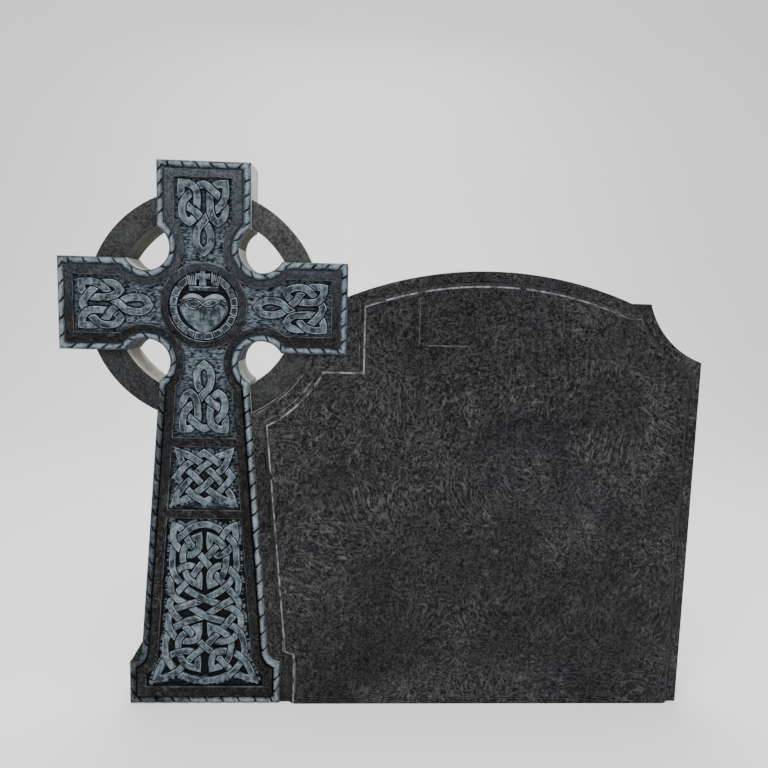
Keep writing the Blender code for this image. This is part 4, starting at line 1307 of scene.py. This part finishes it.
def set_values(mesh, name, values):
    """Store one number for each point of a mesh."""
    stored = mesh.attributes.new(name, "FLOAT", "POINT")
    stored.data.foreach_set("value", np.asarray(values, dtype=np.float32).ravel())


def held(values):
    """Values kept between 0 and 1."""
    return np.clip(values, 0, 1)


class HEADSTONE_OT_rope(bpy.types.Operator):
    """Carve the roll round the edge of the cross and cut it like a rope"""
    bl_idname = "headstone.rope"
    bl_label = "Rope edge"

    # The roll's section and the distance between its points
    facets = 12
    spacing = 0.0011
    # Half the length of a cut, its soft ends, its bend and how steep its walls are
    reach = 0.0105
    taper = 0.003
    sway = 0.0007
    steepness = 1.7
    # The swell of the roll between two cuts, and how much of it goes sideways
    pillow_depth = 0.0007
    pillow_width = 0.0045
    draw_in = 0.8
    # Heights above which the roll is painted with a highlight and below which it is painted with shade
    crest_level = 0.80
    root_level = 0.30
    # The darker corner lies left of and below a point, and the even light above a level
    dull_corner = (-0.03, -0.13)
    dull_fade = (0.02, 0.05)
    even_above = -0.16
    even_fade = 0.06

    def execute(self, context):
        size = context.scene.headstone_sizes
        radius = size.rope_radius
        depth = radius + size.rope_crest
        turns = [math.pi * i / self.facets for i in range(self.facets + 1)]
        section = [(ROPE_CENTRE - radius * math.cos(a), depth - radius * math.sin(a)) for a in turns]
        section += [(ROPE_CENTRE + radius, ROPE_ROOT), (ROPE_CENTRE - radius, ROPE_ROOT)]
        crown = len(turns)
        centre, flat = self.loops([inset for inset, level in section])
        levels = np.array([level for inset, level in section])[:, None] * np.ones((1, len(centre)))
        groove, pillow = self.carve(flat, size)
        sink = (groove * size.rope_cut + pillow * self.pillow_depth) / radius
        sink[crown:] = 0.0
        flat = centre[None] + (flat - centre[None]) * (1 - sink[..., None] * self.draw_in)
        levels = depth + (levels - depth) * (1 - sink)
        points = np.stack([flat[..., 0] + MIDDLE, levels + FRONT, flat[..., 1] + CROSS_HEIGHT], 2)
        index = np.arange(levels.size).reshape(levels.shape)
        following = np.roll(index, -1, 0)
        faces = np.stack([index, np.roll(index, -1, 1), np.roll(following, -1, 1), following], 2)
        mesh = bpy.data.meshes.new("rope")
        mesh.from_pydata(points.reshape(-1, 3).tolist(), [], faces.reshape(-1, 4).tolist())
        self.tones(mesh, flat, held((depth - levels) / radius), groove, crown)
        rope = linked("rope", mesh)
        open_mesh(rope)
        close_mesh()
        # The lift value is the painted highlight on the crest of the roll
        finish(rope, 50.0, [dressed("dressed rope", -0.16, "lift")])
        return {"FINISHED"}

    def loops(self, insets):
        """The middle line of the roll, and the line at each inset, with points side by side."""
        middle = np.array(cross_outline(ROPE_CENTRE, -CROSS_HEIGHT + ROPE_CENTRE))
        steps = np.hypot(*(np.roll(middle, -1, 0) - middle).T)
        counts = np.maximum(1, np.round(steps / self.spacing)).astype(int)
        drawn = []
        for loop in [np.array(cross_outline(inset, -CROSS_HEIGHT + inset)) for inset in insets] + [middle]:
            after = np.roll(loop, -1, 0)
            drawn.append(np.concatenate([p + (q - p) * (np.arange(n) / n)[:, None]
                                         for p, q, n in zip(loop, after, counts)]))
        return drawn[-1], np.stack(drawn[:-1])

    def carve(self, flat, size):
        """How far the cuts and the swell between them reach at every point of the roll."""
        groove = np.zeros(flat.shape[:2])
        pillow = np.zeros(flat.shape[:2])
        for x, z, slant in rope_cuts():
            a = math.radians(slant)
            dx = flat[..., 0] - x
            dz = flat[..., 1] - z
            along = dx * math.cos(a) + dz * math.sin(a)
            across = -dx * math.sin(a) + dz * math.cos(a) + self.sway * np.sin(along / self.reach * math.pi)
            near = held((self.reach - np.abs(along)) / self.taper)
            cut = held(self.steepness - self.steepness * np.abs(across) / size.rope_cut_half) * near
            groove = np.maximum(groove, cut)
            pillow = np.maximum(pillow, np.exp(-np.abs(across) / self.pillow_width) * near)
        return groove, pillow

    def tones(self, mesh, flat, height, groove, crown):
        """Store the painted highlight on the crest of the roll and the painted shade in its cuts and along
        its root.

        The left side of the shaft is darker, with less highlight, and the painted shade on the inner
        side of the roll is stronger below the arms of the cross.
        """
        dull = held((self.dull_corner[0] - flat[..., 0]) / self.dull_fade[0])
        dull = dull * held((self.dull_corner[1] - flat[..., 1]) / self.dull_fade[1])
        # Painted highlight on the crest of the roll, weaker in the darker corner
        lift = held(height - self.crest_level) * 1.4
        set_values(mesh, "lift", lift * (1 - groove) * (1 - dull * 0.8))
        side = np.append(np.linspace(0.25, 1.0, crown), (1.0, 0.25))[:, None]
        side = side * (1.0 - 0.55 * held((flat[..., 1] - self.even_above) / self.even_fade))
        # Painted shade in the cuts and along the root of the roll, with the darker corner added
        shade = groove * 0.95 + held(self.root_level - height) * 1.9 * side + dull * 0.54
        set_values(mesh, "painted_shade", np.clip(shade, 0, 0.97))


def inside(points, outline):
    """Which of the points lie inside a closed outline."""
    x = points[:, 0]
    z = points[:, 1]
    found = np.zeros(len(points), bool)
    for p, q in zip(outline, outline[1:] + outline[:1]):
        if p[1] != q[1]:
            crosses = (p[1] > z) != (q[1] > z)
            found ^= crosses & (x < (q[0] - p[0]) * (z - p[1]) / (q[1] - p[1]) + p[0])
    return found


def tree_of(outlines, spacing):
    """A search tree of points spread evenly along outlines."""
    spread = []
    for outline in outlines:
        for p, q in zip(outline, outline[1:] + outline[:1]):
            count = max(1, round(math.dist(p, q) / spacing))
            spread += [(p[0] + (q[0] - p[0]) * i / count, p[1] + (q[1] - p[1]) * i / count)
                       for i in range(count)]
    tree = kdtree.KDTree(len(spread))
    for i, (x, z) in enumerate(spread):
        tree.insert((x, z, 0.0), i)
    tree.balance()
    return tree


class HEADSTONE_OT_ground(bpy.types.Operator):
    """Tool the sunken grounds with chisel marks that run off the ribbons"""
    bl_idname = "headstone.ground"
    bl_label = "Tooled grounds"

    # The sheet of a ground and how far it runs under its rim
    lap = 0.0022
    thickness = 0.0015
    # Width and length of a chisel stroke, and the width of the cleft along a ribbon, where the ground is also
    # painted dark as shade
    stroke = 0.0021
    stroke_reach = 0.0065
    cleft = 0.0026
    # The strokes are bright within a margin of the rim, and only some of them
    margin = 0.022
    margin_fade = 0.006
    dull_share = 0.52
    # The random numbers of the strokes
    seed = 11
    count = 60000
    # How light each ground is in the open and along its strokes, the recess last
    lights = ((0.90, 0.45), (0.90, 0.45), (0.90, 0.45), (0.90, 0.45), (0.35, 0.70), (0.15, 0.85), (0.14, 0.0))
    # Where the grounds that are lightest in the open grow darker, outwards from the medallion
    dim_start = 0.125
    dim_reach = 0.035
    dim_share = 0.45

    def execute(self, context):
        size = context.scene.headstone_sizes
        ribbons = tree_of(all_ribbons(size), size.ground_grid)
        chance = np.random.default_rng(self.seed)
        marks = chance.random(self.count)
        beds = []
        for outline, lights in zip(grounds() + [circle((0.0, 0.0), RECESS_RADIUS)], self.lights):
            beds.append(self.bed(size, outline, lights, ribbons, chance, marks))
        finish(joined("grounds", beds), 60.0, [tooled()])
        return {"FINISHED"}

    def blots(self, chance, up, across):
        """Random heights over a grid, smeared sideways into short strokes."""
        coarse = chance.random((up, across))
        rows = (-1, 0, 1)
        columns = (-2, -1, 0, 1, 2)
        brushed = sum(np.roll(coarse, j, 1) for j in columns) / 5
        wide = sum(np.roll(np.roll(coarse, i, 0), j, 1) for i in rows for j in columns) / 15
        return (coarse * 0.30 + (brushed - 0.5) * 1.5 + (wide - 0.5) * 1.5 + 0.32).ravel()

    def bed(self, size, outline, lights, ribbons, chance, marks):
        """One tooled ground as a closed mesh, light in the open and along its chisel strokes, painted dark
        with shade along the ribbons.
        """
        step = size.ground_grid
        open_light, stroke_light = lights
        low = np.min(outline, 0) - self.lap - step
        high = np.max(outline, 0) + self.lap + step
        across = int((high[0] - low[0]) / step) + 2
        up = int((high[1] - low[1]) / step) + 2
        grid = np.meshgrid(low[0] + np.arange(across) * step, low[1] + np.arange(up) * step)
        flat = np.stack([g.ravel() for g in grid], 1)
        rim = tree_of([outline], step)
        edges = np.array([rim.find((x, z, 0.0))[2] for x, z in flat])
        used = np.flatnonzero(inside(flat, outline) | (edges < self.lap))
        blots = self.blots(chance, up, across)
        points = []
        tone = []
        for index in used:
            x, z = flat[index]
            nearest, mark, away = ribbons.find((x, z, 0.0))
            close = min(away / self.cleft, 1.0)
            near = max(1.0 - away / self.stroke_reach, 0.0)
            ray = marks[int(mark * step / self.stroke)]
            height = min(max(near * (0.2 + 0.8 * ray) + (1 - near) * blots[index], 0.0), 1.0) * close
            rimmed = min(max((self.margin - edges[index]) / self.margin_fade, 0.0), 1.0)
            bright = 1.0 if ray > self.dull_share else 0.05
            stroked = min(near * 2.2, 1.0) * stroke_light * rimmed * bright
            light = max((stroked + (1 - near) * open_light * height) * 1.4 - 0.12, 0.0)
            if open_light > stroke_light:
                out = (math.hypot(x, z) - self.dim_start) / self.dim_reach
                light *= 1.0 - self.dim_share * min(max(out, 0.0), 1.0)
            points.append(world_point(x, size.ground - height * size.stipple, z))
            # Painted shade darkens the ground in the cleft along a ribbon
            tone.append(light * close)
        number = np.full(len(flat), -1)
        number[used] = np.arange(len(used))
        corner = number.reshape(up, across)
        quads = np.stack([corner[:-1, :-1], corner[:-1, 1:], corner[1:, 1:], corner[1:, :-1]], 2)
        quads = quads.reshape(-1, 4)
        mesh = bpy.data.meshes.new("bed")
        mesh.from_pydata(points, [], quads[(quads >= 0).all(1)].tolist())
        set_values(mesh, "tone", tone)
        return self.thickened(linked("bed", mesh))

    def thickened(self, piece):
        """Close a sheet with a wall round its rim and one flat face behind."""
        open_mesh(piece)
        bpy.ops.mesh.delete_loose()
        bpy.ops.mesh.select_all(action="SELECT")
        bpy.ops.mesh.region_to_loop()
        bpy.ops.mesh.extrude_region_move(TRANSFORM_OT_translate={"value": (0.0, self.thickness, 0.0)})
        bpy.ops.mesh.edge_face_add()
        close_mesh()
        return piece


class HEADSTONE_OT_knotwork(bpy.types.Operator):
    """Carve the interlaced ribbons of the arms and the shaft"""
    bl_idname = "headstone.knotwork"
    bl_label = "Knotwork"

    def execute(self, context):
        size = context.scene.headstone_sizes
        # The ribbons' rounded edges are painted with a highlight
        ribbons = plate("knotwork", all_ribbons(size), size.ribbon, carving_root(size),
                        [dressed("dressed ribbon", -0.18), edge_highlight("rubbed ribbon edge", 0.95)])
        soften_rim(ribbons, size.ribbon, size.ribbon_round, 2, 1)
        finish(ribbons, 35.0)
        return {"FINISHED"}


def block_outlines():
    """The small arch stones round the medallion, left out behind the crown."""
    outlines = []
    pitch = 360.0 / STONE_COUNT
    for i in range(STONE_COUNT):
        middle = -90 + pitch * (i + 0.5)
        from_crown = abs(middle - 90)
        if from_crown < CROWN_SPREAD:
            continue
        outline = []
        for radius, gap, end in STONE_SIDES:
            low = middle - (pitch / 2 - math.degrees(gap))
            high = middle + (pitch / 2 - math.degrees(gap))
            if from_crown < CROWN_BESIDE:
                low, high = (low, end) if middle < 90 else (180.0 - end, high)
            outline += arc((0.0, 0.0), radius, high, low) if outline else arc((0.0, 0.0), radius, low, high)
        outlines.append(outline)
    return outlines


def thread(name, points, radius, depth, closed=False):
    """A thin round bead along points of the drawing plane, centred on a depth."""
    curve = bpy.data.curves.new(name, "CURVE")
    curve.dimensions = "3D"
    curve.bevel_depth = radius
    curve.bevel_resolution = 2
    curve.use_fill_caps = True
    spline = curve.splines.new("POLY")
    spline.use_cyclic_u = closed
    spline.points.add(len(points) - 1)
    for point, (x, z) in zip(spline.points, points):
        point.co = (*world_point(x, depth, z), 1.0)
    piece = linked(name, curve)
    select_only(piece)
    bpy.ops.object.convert(target="MESH")
    open_mesh(piece)
    bpy.ops.mesh.remove_doubles(threshold=WELD)
    close_mesh()
    return piece


def joined(name, pieces):
    """Several meshes joined as one object."""
    select_only(*pieces)
    bpy.ops.object.join()
    pieces[0].name = name
    return pieces[0]


def lens(x, z, half, rise):
    """A closed oval given in millimetres by its middle and its half sizes."""
    count = 32
    turns = [math.tau * i / count for i in range(count)]
    return in_metres([(x + half * math.cos(a), z + rise * math.sin(a)) for a in turns])


class HEADSTONE_OT_medallion(bpy.types.Operator):
    """Set the ring of arch stones round the medallion"""
    bl_idname = "headstone.medallion"
    bl_label = "Medallion"

    def execute(self, context):
        size = context.scene.headstone_sizes
        # The stones' bevels are painted with a highlight
        stones = plate("arch_stones", block_outlines(), STONE_FACE, carving_root(size),
                       [dressed("dressed stones", -0.46), edge_highlight("rubbed stones", 0.85)])
        soften_rim(stones, STONE_FACE, STONE_BEVEL, 2, 1)
        finish(stones, 40.0)
        return {"FINISHED"}


class HEADSTONE_OT_heart(bpy.types.Operator):
    """Model the heart with its plaited wreath"""
    bl_idname = "headstone.heart"
    bl_label = "Heart"

    face = 0.0012
    round_share = 0.62
    # The hem is the fine bead that follows the lower rim
    hem = 0.0006
    hem_sink = 0.0002
    hem_share = (0.86, 0.85)
    hem_middle = -0.012
    hem_start = -0.006
    # The strands of the wreath and the dark sheets of painted shade that they lie on
    strand = 0.0012
    strand_sink = 0.0007
    strand_shade = 0.0026
    shade_lifts = (0.0001, 0.0005)
    shade_root = 0.001
    # The eyes between the strands, each with a dark sheet of painted shade inside
    eye_line = 0.00045
    eye_shares = (1.0, 0.4)
    eye_shade_shares = (1.1, 1.2)
    eye_shade_lift = 0.00004

    def execute(self, context):
        size = context.scene.headstone_sizes
        outline = both_halves(HEART_HALF)
        # The heart is painted lighter towards its upper lobes, as light from above falls on them
        heart = plate("heart", [outline], self.face, carving_root(size),
                      [dressed("dressed heart", -0.24, painted_top_light=0.46)])
        soften_rim(heart, self.face, size.heart_round * self.round_share, 5, 0, 0.6)
        finish(heart, 60.0)
        wide, tall = self.hem_share
        middle = self.hem_middle
        inner = [(x * wide, (z - middle) * tall + middle) for x, z in smooth_line(outline)]
        lower = [point for point in inner if point[1] < self.hem_start]
        threads = [thread("thread", lower, self.hem, self.face + self.hem_sink)]
        root = self.face + self.shade_root
        # Dark sheets laid on the heart's face under each strand and in each eye are painted shade
        shade_sheets = []
        for run, lift in zip((BRAID_UNDER, BRAID_OVER), self.shade_lifts):
            front = self.face - lift
            line = smooth_line(in_metres(run), closed=False)
            bed = offset_line(line, self.strand_shade) + offset_line(line, -self.strand_shade)[::-1]
            shade_sheets.append(plate("groove", [bed], front, root, []))
            threads.append(thread("thread", line, self.strand, front + self.strand_sink))
        for i, (x, z, half, rise) in enumerate(EYES):
            for share in self.eye_shares:
                oval = lens(x, z, half * share, rise * share)
                threads.append(thread("thread", oval, self.eye_line, self.face, True))
            wide, tall = self.eye_shade_shares
            socket = lens(x, z, half * wide, rise * tall)
            shade_sheets.append(plate("groove", [socket], self.face - self.eye_shade_lift * (i + 1), root, []))
        # The beads of the wreath and the hem are painted with a highlight
        finish(joined("wreath", threads), 60.0, [edge_highlight("rubbed wreath", 0.9)])
        finish(joined("wreath_shade", shade_sheets), 30.0, [shade_finish("wreath shadow", 0.0)])
        return {"FINISHED"}


def flute_outlines():
    """The flutes of the crown, which fan out from its foot on both sides of the small cross."""
    outlines = []
    for i in range(FLUTES):
        low, high, top = (start + step * i for start, step in (FLUTE_LOW, FLUTE_HIGH, FLUTE_TOP))
        top -= FLUTE_DROP if i % 2 else 0.0
        for side in (-1, 1):
            outlines.append(in_metres([(side * (low - 0.5), FLUTE_FOOT), (side * (low + 0.7), FLUTE_FOOT),
                                       (side * (high + 0.7), top), (side * (high - 0.4), top + 1.6)]))
    return outlines


class HEADSTONE_OT_crown(bpy.types.Operator):
    """Carve the fluted crown with its cross above the heart"""
    bl_idname = "headstone.crown"
    bl_label = "Crown"

    bar_face = 0.0018
    bar_round = 0.0012
    lip_face = 0.0010
    flute_face = 0.0025
    cross_face = 0.0008
    cross_round = 0.0010

    def execute(self, context):
        size = context.scene.headstone_sizes
        root = carving_root(size)
        # The crown's lip and flutes and the crosslet's edges are painted with a highlight
        light = [edge_highlight("rubbed crown")]
        bar = plate("crown_bar", [both_halves(CROWN_BAR_HALF)], self.bar_face, root,
                    [dressed("dressed crown", -0.45)])
        soften_rim(bar, self.bar_face, self.bar_round, 3, 0)
        lip = plate("crown_lip", [both_halves(CROWN_LIP_HALF)], self.lip_face, root, light)
        flutes = plate("crown_flutes", flute_outlines(), self.flute_face, root - STAGGER, light)
        outline = [(x + CROSSLET_SHIFT * MM, z) for x, z in both_halves(CROSSLET_HALF)]
        crosslet = plate("crosslet", [outline], self.cross_face, root,
                         [dressed("dressed crosslet", -0.02)] + light)
        soften_rim(crosslet, self.cross_face, self.cross_round, 2, 1)
        finish(joined("crown", [bar, lip, flutes, crosslet]), 40.0)
        return {"FINISHED"}


class HEADSTONE_OT_stage(bpy.types.Operator):
    """Set out the pale floor, the soft lights and the camera"""
    bl_idname = "headstone.stage"
    bl_label = "Stage"

    # Depth of the floor, how much wider it is, its shift towards the camera, and the back wall
    floor_depth = 18.0
    floor_stretch = 2.5
    floor_shift = -4.5
    wall_start = 4.0
    wall_height = 6.0
    wall_sweep = 2.0

    # Name, place, aim, size and power of each light
    lamps = (
        ("key light", (-1.2, -2.6, 3.9), (0.0, 0.0, 0.5), 2.4, 135.0),
        ("fill light", (2.6, -2.4, 2.4), (0.0, 0.0, 0.5), 2.4, 45.0),
        ("top light", (-0.2, -0.2, 4.2), (0.0, 0.0, 0.6), 3.0, 110.0),
        ("back light", (0.0, 2.6, 3.6), (0.0, 1.6, 0.6), 2.6, 70.0),
    )
    room_colour = (0.95, 0.97, 1.0, 1.0)
    room_light = 0.7

    # The lens in millimetres, the eye in the drawing plane's frame, and its turns in radians
    sensor = 36.0
    focal = 700.0 / 768.0 * 36.0
    eye = (0.2722, -1.3188, 0.0171)
    yaw = 0.05033
    pitch = -0.117
    roll = 0.02709

    def execute(self, context):
        self.lay_floor(context)
        self.hang_lights(context)
        self.aim_camera(context)
        return {"FINISHED"}

    def lay_floor(self, context):
        """A floor that sweeps up into a wall behind the stone."""
        bpy.ops.mesh.primitive_plane_add(size=self.floor_depth, location=(0.0, 0.0, 0.0))
        floor = context.object
        floor.name = "floor"
        open_mesh(floor)
        bpy.ops.transform.resize(value=(self.floor_stretch, 1.0, 1.0))
        bpy.ops.transform.translate(value=(0.0, self.floor_shift, 0.0))
        pick(floor, "EDGE", lambda edge: all(v.co.y > self.wall_start for v in edge.verts))
        bpy.ops.mesh.extrude_region_move(TRANSFORM_OT_translate={"value": (0.0, 0.0, self.wall_height)})
        pick(floor, "EDGE", lambda edge: all(v.co.y > self.wall_start and v.co.z < WELD for v in edge.verts))
        bpy.ops.mesh.bevel(offset=self.wall_sweep, segments=16, affect="EDGES")
        bpy.ops.object.mode_set(mode="OBJECT")
        bpy.ops.object.shade_smooth()
        g, tint = blank("studio floor")
        mottle = g.noise(3.0, 2.0).between(0.3, 0.7)
        floor.data.materials.append(g.done(g.mix(mottle * 0.06, tint.floor, FLOOR_MOTTLE), 0.9))

    def hang_lights(self, context):
        """Square soft lights, and an even pale light from all round."""
        for name, spot, aim, size, power in self.lamps:
            lamp = bpy.data.lights.new(name, "AREA")
            lamp.size = size
            lamp.energy = power
            hung = linked(name, lamp)
            hung.location = spot
            hung.rotation_euler = (Vector(aim) - Vector(spot)).to_track_quat("-Z", "Y").to_euler()
        world = bpy.data.worlds.new("pale room")
        world.use_nodes = True
        room = world.node_tree.nodes["Background"]
        room.inputs["Color"].default_value = self.room_colour
        room.inputs["Strength"].default_value = self.room_light
        context.scene.world = world

    def aim_camera(self, context):
        """The camera at the photograph's viewing angle."""
        data = bpy.data.cameras.new("camera")
        data.sensor_width = self.sensor
        data.lens = self.focal
        camera = linked("camera", data)
        ahead = Vector((math.sin(self.yaw) * math.cos(self.pitch), math.cos(self.yaw) * math.cos(self.pitch),
                        math.sin(self.pitch)))
        right = Vector((math.cos(self.yaw), -math.sin(self.yaw), 0.0))
        up = right.cross(ahead)
        across = right * math.cos(self.roll) + up * math.sin(self.roll)
        above = up * math.cos(self.roll) - right * math.sin(self.roll)
        stand = Matrix((across, above, -ahead)).transposed().to_4x4()
        stand.translation = world_point(*self.eye)
        camera.matrix_world = stand
        context.scene.camera = camera


class HEADSTONE_PT_panel(bpy.types.Panel):
    """The headstone's steps and settings in the sidebar"""
    bl_label = "Celtic Cross Headstone"
    bl_idname = "HEADSTONE_PT_panel"
    bl_space_type = "VIEW_3D"
    bl_region_type = "UI"
    bl_category = "Headstone"

    def draw(self, context):
        for step in STEPS:
            self.layout.operator(step.bl_idname)
        for group in (context.scene.headstone_sizes, context.scene.headstone_colours):
            box = self.layout.box()
            for name in group.__annotations__:
                box.prop(group, name)


STEPS = (HEADSTONE_OT_stage, HEADSTONE_OT_stone, HEADSTONE_OT_panel, HEADSTONE_OT_band, HEADSTONE_OT_rope,
         HEADSTONE_OT_ground, HEADSTONE_OT_knotwork, HEADSTONE_OT_medallion, HEADSTONE_OT_heart,
         HEADSTONE_OT_crown)
GROUPS = (("headstone_sizes", HeadstoneSizes), ("headstone_colours", HeadstoneColours))


def register():
    """Add the operators, the panel and the settings."""
    for name, group in GROUPS:
        bpy.utils.register_class(group)
        setattr(bpy.types.Scene, name, PointerProperty(type=group))
    for step in STEPS + (HEADSTONE_PT_panel,):
        bpy.utils.register_class(step)


def unregister():
    """Remove them again."""
    for step in reversed(STEPS + (HEADSTONE_PT_panel,)):
        bpy.utils.unregister_class(step)
    for name, group in reversed(GROUPS):
        delattr(bpy.types.Scene, name)
        bpy.utils.unregister_class(group)


def main():
    """Build every piece in order."""
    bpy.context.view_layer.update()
    register()
    for step in STEPS:
        group, name = step.bl_idname.split(".")
        getattr(getattr(bpy.ops, group), name)()


if __name__ == "__main__":
    main()
